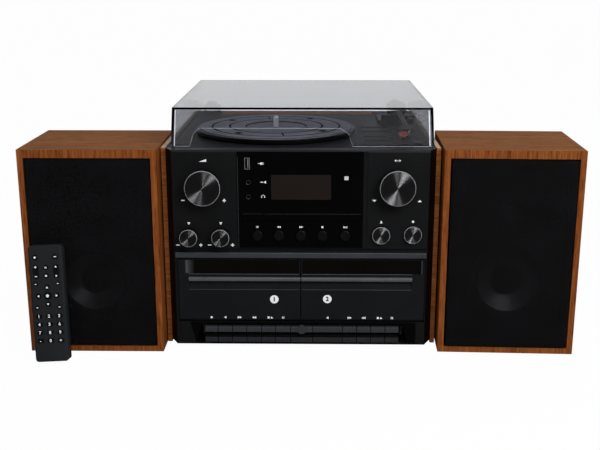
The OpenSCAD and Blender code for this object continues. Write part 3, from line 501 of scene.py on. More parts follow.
def scratch_object(name, data):
    """Linked object that holds a mesh or a curve while Blender works on it."""
    made = bpy.data.objects.new(name, data)
    bpy.context.collection.objects.link(made)
    return made


def drop_object(made):
    """Takes a scratch object out again and returns its mesh."""
    mesh = made.data
    bpy.data.objects.remove(made)
    return mesh


def merged_copy(node):
    """Copy of a CAD node's mesh with its doubles merged and its flat faces joined."""
    bm = bmesh.new()
    bm.from_mesh(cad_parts[node].data)
    bmesh.ops.remove_doubles(bm, verts=bm.verts, dist=0.001 * MM)
    bmesh.ops.dissolve_limit(bm, angle_limit=math.radians(0.6), verts=bm.verts, edges=bm.edges)
    return bm


def bevel_mesh(bm, width, segments=2):
    """Rounds the sharp edges of a closed mesh."""
    held = scratch_object("edges", as_mesh(bm, "edges"))
    rounding = held.modifiers.new("rounding", "BEVEL")
    rounding.width = width
    rounding.segments = segments
    rounding.limit_method = "ANGLE"
    rounding.angle_limit = math.radians(35)
    rounding.use_clamp_overlap = True
    rounding.harden_normals = False
    apply_modifiers(held)
    return drop_object(held)


def softened(node, name, body, materials, width_mm, segments=2, rule=None):
    """Finished copy of a CAD node with rounded edges; rule picks a material for each face."""
    mesh = bevel_mesh(merged_copy(node), width_mm * MM, segments)
    paint_faces(mesh, rule)
    return finish_piece(name, mesh, materials, body, (node,))


def paint_faces(mesh, rule):
    """Sets each face's material index from its middle and its normal."""
    if rule:
        for face in mesh.polygons:
            face.material_index = rule(face.center, face.normal)


def prism_outline(bm, outline, axis, depths):
    """Closed prism over an outline: axis is the one it is drawn out along, between two depths."""
    def corner(point, depth):
        u, v = point
        return {"x": (depth, u, v), "y": (u, depth, v), "z": (u, v, depth)}[axis]
    near = [bm.verts.new(corner(p, depths[0])) for p in outline]
    far = [bm.verts.new(corner(p, depths[1])) for p in outline]
    faces = [bm.faces.new(near), bm.faces.new(far[::-1])]
    for i in range(len(outline)):
        j = (i + 1) % len(outline)
        faces.append(bm.faces.new((near[j], near[i], far[i], far[j])))
    bmesh.ops.recalc_face_normals(bm, faces=faces)
    return faces


def add_box(bm, low, high):
    """Closed box between two corners."""
    outline = [(low[0], low[2]), (high[0], low[2]), (high[0], high[2]), (low[0], high[2])]
    return prism_outline(bm, outline, "y", (low[1], high[1]))


def arc(cx, cz, radius, start, end, steps):
    """Points along an arc, in degrees."""
    turns = [math.radians(start + (end - start) * i / steps) for i in range(steps + 1)]
    return [(cx + radius * math.cos(turn), cz + radius * math.sin(turn)) for turn in turns]


def round_outline(x0, x1, z0, z1, radius):
    """Rectangle with round corners, as a list of points."""
    steps = 6
    return (arc(x1 - radius, z0 + radius, radius, -90, 0, steps)
            + arc(x1 - radius, z1 - radius, radius, 0, 90, steps)
            + arc(x0 + radius, z1 - radius, radius, 90, 180, steps)
            + arc(x0 + radius, z0 + radius, radius, 180, 270, steps))


def lathe(bm, profile, centre, axis, steps=96, material=0):
    """Turned solid from a (radius, height) profile round an axis, with closed poles."""
    def place(radius, height, turn):
        a, b = radius * math.cos(turn), radius * math.sin(turn)
        local = {"y": (a, height, b), "z": (a, b, height)}[axis]
        return Vector(centre) + Vector(local)
    rings = []
    for radius, height in profile:
        if radius < 1e-7:
            rings.append([bm.verts.new(place(0, height, 0))])
        else:
            rings.append([bm.verts.new(place(radius, height, 2 * math.pi * i / steps))
                          for i in range(steps)])
    faces = []
    for low, high in zip(rings, rings[1:]):
        for i in range(steps):
            j = (i + 1) % steps
            corners = [low[i % len(low)], low[j % len(low)],
                       high[j % len(high)], high[i % len(high)]]
            unique = list(dict.fromkeys(corners))
            if len(unique) > 2:
                faces.append(bm.faces.new(unique))
    for end in (rings[0], rings[-1]):
        if len(end) > 1 and profile[0] != profile[-1]:
            faces.append(bm.faces.new(end))
    for face in faces:
        face.material_index = material
    bmesh.ops.recalc_face_normals(bm, faces=faces)
    return faces


def outward_directions(mesh, centre):
    """Stores the direction away from a turned piece's Y axis at each point."""
    layer = mesh.attributes.new("outward", "FLOAT_VECTOR", "POINT")
    for i, vertex in enumerate(mesh.vertices):
        away = vertex.co - centre
        away.y = 0
        layer.data[i].vector = away.normalized() if away.length > 1e-6 else Vector((1, 0, 0))


# Small printed marks, drawn in mm round (0, 0)

def moved(shapes, dx, dz=0.0):
    """Shapes shifted to one side and up."""
    return [[(x + dx, z + dz) for x, z in shape] for shape in shapes]


def bar_mark(width, height):
    """Upright or level bar, or a square."""
    return [[(-width / 2, -height / 2), (width / 2, -height / 2),
             (width / 2, height / 2), (-width / 2, height / 2)]]


def plus_mark(size):
    """Plus sign: a level bar and the two halves of an upright one."""
    arm, half = size / 2, size / 7.5
    return [[(-arm, -half), (arm, -half), (arm, half), (-arm, half)],
            [(-half, half), (half, half), (half, arm), (-half, arm)],
            [(-half, -arm), (half, -arm), (half, -half), (-half, -half)]]


def minus_mark(size):
    """Minus sign."""
    return bar_mark(size, size / 3.2)


def triangle_mark(size, turn):
    """Triangle that points up, turned by some degrees."""
    points = [(0, size * 0.55), (-size * 0.6, -size * 0.45), (size * 0.6, -size * 0.45)]
    c, s = math.cos(math.radians(turn)), math.sin(math.radians(turn))
    return [[(x * c - z * s, x * s + z * c) for x, z in points]]


def flat_triangle(width, height):
    """Low triangle; a negative height points it down."""
    return [[(0, height / 2), (-width / 2, -height / 2), (width / 2, -height / 2)]]


def dot_mark(radius, steps=20):
    """Round dot."""
    return [arc(0, 0, radius, 0, 360 * (steps - 1) / steps, steps - 1)]


def pause_mark(s):
    """Two upright bars."""
    return moved(bar_mark(s * 0.3, s), -s * 0.3) + moved(bar_mark(s * 0.3, s), s * 0.3)


def skip_mark(s, way):
    """Two triangles in a row that point one way."""
    return (moved(triangle_mark(s, -90 * way), -0.45 * s * way)
            + moved(triangle_mark(s, -90 * way), 0.45 * s * way))


def eject_mark(s):
    """Triangle over a bar."""
    return (moved(triangle_mark(s, 0), 0, 0.25 * s)
            + moved(bar_mark(s * 1.1, s * 0.22), 0, -0.5 * s))


def volume_mark(s):
    """Rising wedge, the plain sign for loudness."""
    return [[(-s / 2, -s * 0.16), (s / 2, -s * 0.16), (s / 2, s * 0.22)]]


def dial_mark(s):
    """Two triangles that point away from a dot, the plain sign for choosing."""
    return (dot_mark(s * 0.1, 12) + moved(triangle_mark(s * 0.34, 90), -s * 0.42)
            + moved(triangle_mark(s * 0.34, -90), s * 0.42))


def plug_mark(s):
    """Plain plug: a body with two prongs and a lead."""
    return (bar_mark(s * 0.3, s * 0.3) + moved(bar_mark(s * 0.22, s * 0.06), s * 0.26, s * 0.09)
            + moved(bar_mark(s * 0.22, s * 0.06), s * 0.26, -s * 0.09)
            + moved(bar_mark(s * 0.3, s * 0.06), -s * 0.3))


def headphone_mark(s):
    """Headband with two ear pads."""
    outer = arc(0, 0, s * 0.5, 0, 180, 10)
    inner = arc(0, 0, s * 0.38, 180, 0, 10)
    pad = bar_mark(s * 0.22, s * 0.4)
    return [outer + inner, *moved(pad, -s * 0.42, -s * 0.1), *moved(pad, s * 0.42, -s * 0.1)]


def menu_mark(s):
    """Three level bars."""
    return [shape for row in (-1, 0, 1)
            for shape in moved(bar_mark(s * 1.3, s * 0.18), 0, row * s * 0.38)]


def add_marks(bm, marks, near, far):
    """Raised prints between two depths; marks are (x, z, shapes) in mm."""
    for x, z, shapes in marks:
        for shape in shapes:
            outline = in_metres((x + px, z + pz) for px, pz in shape)
            prism_outline(bm, outline, "y", (near, far))


def print_marks(name, body, marks, surface_y):
    """White prints on a face that looks to the front."""
    bm = bmesh.new()
    add_marks(bm, marks, surface_y - PRINT_PROUD, surface_y + PRINT_SUNK)
    return finish_mesh(name, bm, ["ink"], body)


def text_mesh(text, size_mm, thick_mm, bold_mm):
    """Plain numeral as a mesh in the XZ plane, centred, facing the front."""
    curve = bpy.data.curves.new("numeral", "FONT")
    curve.body = text
    curve.size = size_mm * MM
    curve.align_x = "CENTER"
    curve.align_y = "CENTER"
    curve.extrude = thick_mm * MM / 2
    curve.offset = bold_mm * MM
    curve.resolution_u = 3
    held = scratch_object("numeral", curve)
    mesh = evaluated_mesh(held)
    bpy.data.objects.remove(held)
    mesh.transform(Matrix.Rotation(math.radians(90), 4, "X"))
    return mesh


# Geometry Nodes

def new_tree(name, sockets):
    """Geometry Nodes tree with named inputs, given as (name, type, default)."""
    tree = bpy.data.node_groups.new(name, "GeometryNodeTree")
    tree.interface.new_socket("Geometry", in_out="OUTPUT", socket_type="NodeSocketGeometry")
    for label, kind, default in sockets:
        socket = tree.interface.new_socket(label, in_out="INPUT", socket_type=kind)
        if default is not None:
            socket.default_value = default
    return tree, add_node(tree, "NodeGroupInput").outputs


def ring_tree():
    """Pieces round a circle, each turned to face the middle: screws or knurls."""
    tree, given = new_tree("even_ring", [
        ("Count", "NodeSocketInt", 4), ("Radius", "NodeSocketFloat", 0.05),
        ("Phase", "NodeSocketFloat", 0.0), ("Piece", "NodeSocketObject", None),
        ("Material", "NodeSocketMaterial", None)])
    circle = add_node(tree, "GeometryNodeMeshCircle", {
        "Vertices": given["Count"], "Radius": given["Radius"]})
    index = add_node(tree, "GeometryNodeInputIndex")
    turn = add_node(tree, "ShaderNodeMath", {
        0: index.outputs[0], 1: 2 * math.pi}, operation="MULTIPLY")
    share = add_node(tree, "ShaderNodeMath", {
        0: turn.outputs[0], 1: given["Count"]}, operation="DIVIDE")
    spin = add_node(tree, "ShaderNodeCombineXYZ", {"Z": share.outputs[0]})
    piece = add_node(tree, "GeometryNodeObjectInfo", {"Object": given["Piece"]})
    placed = add_node(tree, "GeometryNodeInstanceOnPoints", {
        "Points": circle.outputs["Mesh"], "Instance": piece.outputs["Geometry"],
        "Rotation": spin.outputs[0]})
    phase = add_node(tree, "ShaderNodeCombineXYZ", {"Z": given["Phase"]})
    turned = add_node(tree, "GeometryNodeTransform", {
        "Geometry": placed.outputs["Instances"], "Rotation": phase.outputs[0]})
    real = add_node(tree, "GeometryNodeRealizeInstances", {"Geometry": turned.outputs["Geometry"]})
    painted = add_node(tree, "GeometryNodeSetMaterial", {
        "Geometry": real.outputs[0], "Material": given["Material"]})
    add_node(tree, "NodeGroupOutput", {"Geometry": painted.outputs[0]})
    return tree


def grow(tree, values, place):
    """Runs a tree with the given inputs and returns its plain mesh, moved to its place."""
    held = scratch_object("grown", bpy.data.meshes.new("grown"))
    growth = held.modifiers.new("growth", "NODES")
    growth.node_group = tree
    for item in tree.interface.items_tree:
        if item.in_out == "INPUT" and item.name in values:
            growth[item.identifier] = values[item.name]
    mesh = apply_modifiers(held)
    drop_object(held)
    mesh.transform(place)
    return mesh


def ring_of(bm, count, radius, phase, material, place):
    """Copies of one small piece in a ring that looks to the front from its place."""
    piece = scratch_object("ring_piece", as_mesh(bm, "ring_piece"))
    tree = bpy.data.node_groups.get("even_ring") or ring_tree()
    grown = grow(tree, {
        "Count": count, "Radius": radius, "Phase": phase, "Piece": piece,
        "Material": MATERIALS[material]}, place @ Matrix.Rotation(math.radians(90), 4, "X"))
    drop_object(piece)
    return grown


# Property groups

class MusicCentreSizes(bpy.types.PropertyGroup):
    """Sizes that a user would change."""
    edge: bpy.props.FloatProperty(
        name="Edge rounding", description="Radius of moulded edges", default=0.5 * MM,
        min=0.0001, max=0.001, unit="LENGTH")
    board_edge: bpy.props.FloatProperty(
        name="Board rounding", description="Radius of the wooden edges", default=1.0 * MM,
        min=0.0002, max=0.002, unit="LENGTH")
    lid_edge: bpy.props.FloatProperty(
        name="Lid edges", description="Radius of the lid's polished edges", default=0.9 * MM,
        min=0.0003, max=0.0013, unit="LENGTH")


class MusicCentreColours(bpy.types.PropertyGroup):
    """Colours that a user would change, as sRGB hex values."""
    moulding: bpy.props.StringProperty(
        name="Moulding", description="Black of the moulded front", default="111214")
    trim: bpy.props.StringProperty(
        name="Trim bar", description="Grey of the trim bar", default="35373B")
    knob: bpy.props.StringProperty(
        name="Knob face", description="Metal colour of the knob faces", default="C4C4C8")


# Operators

def speaker_frame(side):
    """Matrix from a speaker's own axes, at its front lower left corner, to the row frame."""
    low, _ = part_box(f"{side}_cabinet")
    turn = 0.0 if side == "left" else RIGHT_TURN
    corner = Vector((low.x, low.y - SPEAKER_WIDTH * math.sin(turn), 0))
    return Matrix.Translation(corner) @ Matrix.Rotation(turn, 4, "Z")


class MUSIC_OT_cabinet_wood(bpy.types.Operator):
    """Make the two wooden cheeks and both speaker cabinets."""
    bl_idname = "music.cabinet_wood"
    bl_label = "Wooden cheeks and speaker cabinets"

    def execute(self, context):
        for side in SIDES:
            self.cheek(side)
            self.speaker_box(side, context.scene.music_centre_sizes.board_edge / MM)
        return {"FINISHED"}

    def cheek(self, side):
        """Board with foiled sides, a band on its front edge painted lighter as painted light, and
        a bare top edge.
        """
        bare = DECK_TOP - 0.3 * MM

        def rule(middle, normal):
            if middle.z > bare:
                return 2
            # The front edge takes the lighter band foil: painted light
            return 1 if normal.y < -ALONG else 0
        softened(f"{side}_cheek", f"{side}_cheek_board", "cabinet",
                 ["foil_upright", "foil_band_painted_light", "raw_board"], 0.5, rule=rule)

    def speaker_box(self, side, rounding_mm):
        """Foiled box with a black baffle, and the terminal plate on its back."""
        low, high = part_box(f"{side}_cabinet")
        middle_z = (low.z + high.z) / 2
        baffle_y, baffle_half = low.y + 8 * MM, 0.12
        own_axes = speaker_frame(side).inverted()

        def rule(middle, normal):
            if (own_axes @ middle).y > SPEAKER_DEPTH + 0.1 * MM:
                return 3
            if abs(normal.z) > ALONG:
                return 1
            sunk = middle.y > baffle_y and abs(middle.z - middle_z) < baffle_half
            return 2 if sunk and normal.y < -ALONG else 0
        softened(f"{side}_cabinet", f"{side}_speaker_cabinet", f"{side}_speaker",
                 ["foil_upright", "foil_across", "black_and_shade_moulding", "grey_cap"],
                 rounding_mm, 3, rule)


# Driver profiles: (radius, depth) in mm from the baffle. Sheets have their material's index.
DRIVER_SHEETS = (
    # Dust cap, cone and half-roll surround
    ([(0, 0.3), (5, 0.8), (10, 2.4), (15, 5.2), (18.5, 9.6), (19.4, 11.6)], 0),
    ([(19.4, 11.6), (24, 8.4), (30, 4.2), (36, 0.2), (37.8, -1.0)], 1),
    ([(37.8, -1.0), (38.6, -2.4), (40.4, -3.3), (42.4, -3.3), (44.2, -2.4), (45, -1.6)], 0),
)
SHEET_THICK = 0.6
FLANGE = [(45, -0.2), (45, -2.0), (46, -2.6), (51, -2.6), (52, -1.8), (52, -0.2), (45, -0.2)]
MAGNET = [(0, 40), (33, 40), (34, 41), (34, 55), (33, 56), (0, 56)]
TWEETER_PLATE = [(7, -0.1), (7, -1.0), (9, -2.0), (17, -2.2), (18, -1.4), (18, -0.1), (7, -0.1)]
TWEETER_DOME = [(0, -2.2), (3, -1.9), (5.5, -1.0), (6.8, 0.4), (6.8, 1.2), (0, 1.2)]
SCREW_HEAD = [(0, 0.9), (1.6, 0.7), (2.4, 0.1), (2.4, 0), (0, 0)]


class MUSIC_OT_grilles(bpy.types.Operator):
    """Stretch the cloth over both grille boards and make the drivers behind it."""
    bl_idname = "music.grilles"
    bl_label = "Grilles and drivers"

    def execute(self, context):
        for side in SIDES:
            self.grille(side)
            self.drivers(side)
        return {"FINISHED"}

    def grille(self, side):
        """Cloth stretched over the front and the sides of its board frame."""
        place = speaker_frame(side)
        x0, x1, z0, z1 = (v * MM for v in (8.7, 164.6, 8.7, 255.3))
        front, back, curl, skin = (v * MM for v in (-2.4, 5.0, 2.6, 0.35))
        # Each ring of the cloth as (inset, depth): up the side, then round the front edge
        steps = 5
        loops = [(0.0, back)]
        for i in range(steps + 1):
            turn = math.radians(90 * i / steps)
            loops.append((curl * (1 - math.cos(turn)), front + curl * (1 - math.sin(turn))))
        bm = bmesh.new()
        rings = []
        for inset, depth in loops:
            outline = round_outline(x0 + inset, x1 - inset, z0 + inset, z1 - inset, 4 * MM)
            rings.append([bm.verts.new((x, depth, z)) for x, z in outline])
        for near, far in zip(rings, rings[1:]):
            for i in range(len(near)):
                j = (i + 1) % len(near)
                bm.faces.new((near[i], near[j], far[j], far[i]))
        bm.faces.new(rings[-1])
        bmesh.ops.recalc_face_normals(bm, faces=bm.faces)
        if sum(f.normal.y * f.calc_area() for f in bm.faces) > 0:
            bmesh.ops.reverse_faces(bm, faces=bm.faces)
        uv = bm.loops.layers.uv.new("cloth")
        for face in bm.faces:
            for loop in face.loops:
                loop[uv].uv = (loop.vert.co.x, loop.vert.co.z)
        mesh = as_mesh(bm, "cloth")
        mesh.transform(place)
        held = scratch_object("cloth", mesh)
        wall = held.modifiers.new("wall", "SOLIDIFY")
        wall.thickness = skin
        wall.offset = -1
        apply_modifiers(held)
        cloth = finish_piece(f"{side}_grille_cloth", drop_object(held), ["cloth"],
                             f"{side}_speaker", (f"{side}_grille",))
        self.board_frame(side, place, (x0, x1, z0, z1), (front + curl, back), skin + 0.1 * MM)

    def board_frame(self, side, place, outline, depths, inner):
        """Frame with one cross bar, just inside the cloth."""
        x0, x1, z0, z1 = outline
        rail = 11 * MM
        bm = bmesh.new()
        for xa, xb, za, zb in (
                (x0 + inner, x0 + rail, z0 + inner, z1 - inner),
                (x1 - rail, x1 - inner, z0 + inner, z1 - inner),
                (x0 + rail, x1 - rail, z0 + inner, z0 + rail),
                (x0 + rail, x1 - rail, z1 - rail, z1 - inner),
                (x0 + rail, x1 - rail, 148 * MM, 156 * MM)):
            add_box(bm, (xa, depths[0], za), (xb, depths[1], zb))
        board = bevel_mesh(bm, 0.3 * MM)
        board.transform(place)
        finish_piece(f"{side}_grille_board", board, ["hollow"], f"{side}_speaker")

    def drivers(self, side):
        """Woofer with its magnet, tweeter, and four flange screws."""
        place = speaker_frame(side)
        middle, woofer_z, tweeter_z, baffle = (v * MM for v in (86.65, 93, 190, 9))
        woofer, tweeter = (middle, baffle, woofer_z), (middle, baffle, tweeter_z)
        bm = bmesh.new()
        for profile, material in DRIVER_SHEETS:
            behind = [(r, h + SHEET_THICK) for r, h in reversed(profile)]
            lathe(bm, in_metres([*profile, *behind, profile[0]]), woofer, "y", material=material)
        for profile, centre, steps in ((FLANGE, woofer, 96), (MAGNET, woofer, 96),
                                       (TWEETER_PLATE, tweeter, 48), (TWEETER_DOME, tweeter, 48)):
            lathe(bm, in_metres(profile), centre, "y", steps)
        mesh = as_mesh(bm, "drivers")
        mesh.transform(place)
        finish_piece(f"{side}_woofer_and_tweeter", mesh, ["surround", "cone"], f"{side}_speaker",
                     (f"{side}_drivers",))
        bm = bmesh.new()
        lathe(bm, in_metres(SCREW_HEAD), (0, 0, 0), "z", steps=16)
        stand = Matrix.Translation((middle, baffle - 2.6 * MM, woofer_z))
        screws = ring_of(bm, 4, 48.6 * MM, math.radians(45), "zinc", place @ stand)
        finish_piece(f"{side}_woofer_screws", screws, ["zinc"], f"{side}_speaker")


def key_zone(middle, first):
    """Part of the piano keys' profile, from the first material on: facet, hollow in painted shade,
    or lip.
    """
    if middle.z > 24.4 * MM:
        return first
    return first + (2 if middle.z < 17.5 * MM else 1)


class MUSIC_OT_front(bpy.types.Operator):
    """Finish the front moulding, its trim bar, the lower bezel and the glossy panel."""
    bl_idname = "music.front"
    bl_label = "Front mouldings and panel"

    def execute(self, context):
        edge = context.scene.music_centre_sizes.edge / MM
        bar_low, bar_high = 0.1243, 0.1321
        chamfer_x = DISPLAY[1].x - 5.1 * MM
        # Solid part of the bezel between the keys of the two decks, shaped like a key
        filler = (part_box("key_1_pause")[1].x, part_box("key_2_play")[0].x)
        end_x = 0.1605

        # Faces at the ends that look sideways take a darker black: painted shade
        def on_end(middle, normal):
            return abs(middle.x) > end_x and abs(normal.x) > 0.3

        def front_rule(middle, normal):
            if middle.y < FRONT_Y - 0.3 * MM and bar_low < middle.z < bar_high:
                return 1
            return 2 if on_end(middle, normal) else 0

        def bezel_rule(middle, normal):
            if filler[0] < middle.x < filler[1] and middle.y < FRONT_Y + 0.5 * MM:
                return key_zone(middle, 2)
            return 1 if on_end(middle, normal) else 0

        def panel_rule(middle, normal):
            return 1 if middle.x > chamfer_x and normal.y < -0.5 else 0
        softened("front_panel", "front_moulding", "cabinet",
                 ["moulding", "trim", "black_and_shade_moulding"], edge, rule=front_rule)
        softened("lower_bezel", "lower_bezel_moulding", "cabinet",
                 ["moulding", "black_and_shade_moulding", "key", "hollow", "key_lip"], edge,
                 rule=bezel_rule)
        softened("display_panel", "glossy_panel", "cabinet", ["panel", "chamfer"],
                 0.3, rule=panel_rule)
        self.display(DISPLAY[0].y)
        return {"FINISHED"}

    def display(self, surface):
        """Lens over the display, the small sensor window, and a pale strip on the panel's left
        edge: painted highlight.
        """
        for name, outline, radius, proud, kind in (
                ("display_lens", (-36.9, 38.5, 201.8, 233.7), 1.2, 0.25, "lens"),
                ("sensor_window", (55.0, 60.2, 227.2, 232.0), 0.5, 0.15, "dim_ink")):
            bm = bmesh.new()
            outline = round_outline(*(v * MM for v in outline), radius * MM)
            prism_outline(bm, outline, "y", (surface - proud * MM, surface + 0.1 * MM))
            finish_mesh(name, bm, [kind], "cabinet")
        # A narrow slope in a pale finish: a painted highlight
        bm = bmesh.new()
        left = DISPLAY[0].x
        outline = [(left - 0.05 * MM, surface + 0.3 * MM), (left - 0.05 * MM, surface + 0.05 * MM),
                   (left + 0.75 * MM, surface - 0.12 * MM), (left + 0.75 * MM, surface + 0.3 * MM)]
        prism_outline(bm, outline, "z", (DISPLAY[0].z + 0.2 * MM, DISPLAY[1].z - 6 * MM))
        finish_mesh("panel_polished_edge", bm, ["painted_highlight_chamfer"], "cabinet")


class MUSIC_OT_controls(bpy.types.Operator):
    """Make the turned knobs and buttons with their bright rims, and the round buttons."""
    bl_idname = "music.controls"
    bl_label = "Knobs and buttons"

    def execute(self, context):
        for name, knurls, depth in (("volume", 96, 12), ("select", 96, 12),
                                    ("bass", 60, 11), ("treble", 60, 11)):
            self.knob(name, knurls, depth * MM)
        for name in ("eject", "record"):
            self.metal_button(name)
        for i in range(1, 6):
            softened(f"round_button_{i}", f"button_cap_{i}", f"button_{i}", ["button"],
                     0.5, 3)
        return {"FINISHED"}

    def turned_face(self, bm, spot, radius, front):
        """Spun face inside a bright bevelled rim."""
        inside = radius - 0.9 * MM
        rings = 14
        lathe(bm, [(0, front), *[(inside * i / rings, front) for i in range(1, rings + 1)],
                   (inside, front + 0.4 * MM), (0, front + 0.4 * MM)], spot, "y", material=0)
        rim = [(-0.9, 0.5), (-0.9, -0.05), (-0.6, -0.05), (-0.1, 0.6), (-0.1, 1.0), (-0.9, 1.0),
               (-0.9, 0.5)]
        lathe(bm, in_metres(rim, (radius, front)), spot, "y", material=1)

    def finish_turned(self, bm, node, body, spot):
        """Finishes a piece whose face is spun round a spot."""
        mesh = as_mesh(bm, node)
        outward_directions(mesh, Vector(spot))
        finish_piece(f"{node}_turned", mesh, ["knob_face", "knob_rim", "knob_side"],
                     body, (node,))

    def knob(self, name, knurls, depth):
        """Spun knob, hollow from behind, with a bore or a short pin and fine ribs on its side."""
        low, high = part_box(f"{name}_knob")
        spot = ((low.x + high.x) / 2, 0, (low.z + high.z) / 2)
        radius = (high.x - low.x) / 2
        front = low.y + 0.06 * MM
        back = front + depth
        bore = 3.2 * MM
        bm = bmesh.new()
        self.turned_face(bm, spot, radius, front)
        body = [(bore, back), (bore, front + 4.7 * MM),
                *in_metres([(0, 4.7), (0, 0.5)], (0, front)),
                *in_metres([(-1.0, 0.5), (-1.0, 1.0), (-0.5, 1.0)], (radius, front)),
                *in_metres([(-0.5, -0.6), (-1.1, 0)], (radius, back)), (bore, back)]
        lathe(bm, body[::-1], spot, "y", material=2)
        if name in ("bass", "treble"):
            pin = in_metres([(0, 4.8), (3, 4.8)], (0, front)) + [(3 * MM, high.y), (0, high.y)]
            lathe(bm, pin, spot, "y", steps=32, material=2)
        ribs = self.grip(spot, radius - 0.35 * MM, front + 2.0 * MM, back - 0.8 * MM, knurls)
        bm.from_mesh(ribs)
        self.finish_turned(bm, f"{name}_knob", name, spot)

    def grip(self, spot, radius, front, back, count):
        """Fine ribs along a knob's side."""
        bm = bmesh.new()
        add_box(bm, (-0.2 * MM, -0.2 * MM, 0), (0.3 * MM, 0.2 * MM, back - front))
        ribs = ring_of(bm, count, radius, 0.0, "knob_side",
                       Matrix.Translation((spot[0], back, spot[2])))
        for face in ribs.polygons:
            face.material_index = 2
        return ribs

    def metal_button(self, name):
        """Spun button with a collar behind the panel and a pin."""
        low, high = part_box(f"{name}_button")
        spot = ((low.x + high.x) / 2, 0, (low.z + high.z) / 2)
        collar = 1.2 * MM
        radius = (high.x - low.x) / 2 - collar
        front = low.y + 0.06 * MM
        shoulder = high.y - 2.6 * MM
        bm = bmesh.new()
        self.turned_face(bm, spot, radius, front)
        lathe(bm, [(0, front + 0.5 * MM),
                   *in_metres([(-1.0, 0.5), (-1.0, 1.0), (-0.2, 1.0)], (radius, front)),
                   (radius - 0.2 * MM, shoulder), (radius + collar, shoulder),
                   (radius + collar, shoulder + 1.4 * MM), (3 * MM, shoulder + 1.4 * MM),
                   (3 * MM, high.y), (0, high.y)], spot, "y", material=2)
        self.finish_turned(bm, f"{name}_button", name, spot)


# Signs of the cassette keys, and the middle of each deck's numbered disc in mm
KEY_SIGNS = {
    "record": dot_mark(1.5), "play": triangle_mark(3.0, 90), "rewind": skip_mark(2.8, 1),
    "forward": skip_mark(2.8, -1), "pause": pause_mark(3.0),
    "stop": bar_mark(2.6, 2.6) + moved(triangle_mark(2.8, 0), 4.0),
}
DISC_PLACES = {1: (-34.1, 68.1), 2: (34.7, 68.8)}


class MUSIC_OT_printing(bpy.types.Operator):
    """Print the plain signs on the front, and the deck numbers on their discs."""
    bl_idname = "music.printing"
    bl_label = "Printed signs"

    def execute(self, context):
        self.fascia_signs()
        self.panel_signs()
        for deck in (1, 2):
            self.deck_signs(deck)
        return {"FINISHED"}

    def fascia_signs(self):
        """Signs round the knobs and over the two metal buttons."""
        sign = 4.4

        def beside(node, dx, dz, shapes):
            middle = box_centre(node)
            return middle.x / MM + dx, middle.z / MM + dz, shapes
        marks = [
            beside("volume_knob", -26.2, -18.2, minus_mark(sign)),
            beside("volume_knob", 26.0, -18.2, plus_mark(sign)),
            beside("volume_knob", 0, 33.0, volume_mark(9.0)),
            beside("select_knob", -28.2, -18.6, flat_triangle(5.4, -2.8)),
            beside("select_knob", 29.0, -18.6, flat_triangle(5.4, 2.8)),
            beside("select_knob", 0, 33.0, dial_mark(7.0)),
            beside("eject_button", 0, 17.0, eject_mark(2.6)),
            beside("record_button", 0, 17.0, dot_mark(1.5)),
        ]
        for knob in ("bass_knob", "treble_knob"):
            marks += [beside(knob, 0, 16.6, triangle_mark(3.4, 180)),
                      beside(knob, -14.9, -12.0, minus_mark(sign)),
                      beside(knob, 14.5, -12.0, plus_mark(sign))]
        print_marks("fascia_signs", "cabinet", marks, FRONT_Y)

    def panel_signs(self):
        """Signs over the five round buttons and beside the sockets."""
        tiny, row = 2.4, 166.0
        marks = [
            (-54.7, row, menu_mark(tiny)), (-27.3, row, skip_mark(tiny, -1)),
            (0.8, row, skip_mark(tiny, 1)), (27.8, row, bar_mark(tiny, tiny)),
            (56.8, row, moved(triangle_mark(tiny, -90), -1.2) + moved(pause_mark(tiny), 1.5)),
            (-49.0, 248.0, plug_mark(9.0)), (-47.0, 205.6, headphone_mark(4.6)),
            (-47.0, 224.2, moved(triangle_mark(3.0, 90), 2.4) + moved(bar_mark(3.4, 1.0), -1.4)),
        ]
        print_marks("panel_signs", "cabinet", marks, DISPLAY[0].y)

    def deck_signs(self, deck):
        """Signs over a deck's keys, and its number on a white disc."""
        body = f"door_{deck}"
        row = [(box_centre(node).x / MM, 43.0, KEY_SIGNS[node.split("_")[2]])
               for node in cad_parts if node.startswith(f"key_{deck}_")]
        print_marks(f"deck_{deck}_key_signs", body, row, FRONT_Y)
        x, z = DISC_PLACES[deck]
        bm = bmesh.new()
        disc = in_metres([(0, -0.3), (5.3, -0.3), (5.6, -0.1), (5.6, 0.05), (0, 0.05)])
        lathe(bm, disc, (x * MM, FRONT_Y, z * MM), "y", 48)
        finish_mesh(f"deck_{deck}_disc", bm, ["ink"], body)
        numeral = text_mesh(str(deck), 8.0, 0.2, 0.3)
        numeral.transform(Matrix.Translation((x * MM, FRONT_Y - 0.35 * MM, z * MM)))
        finish_piece(f"deck_{deck}_numeral", numeral, ["dark_ink"], body)


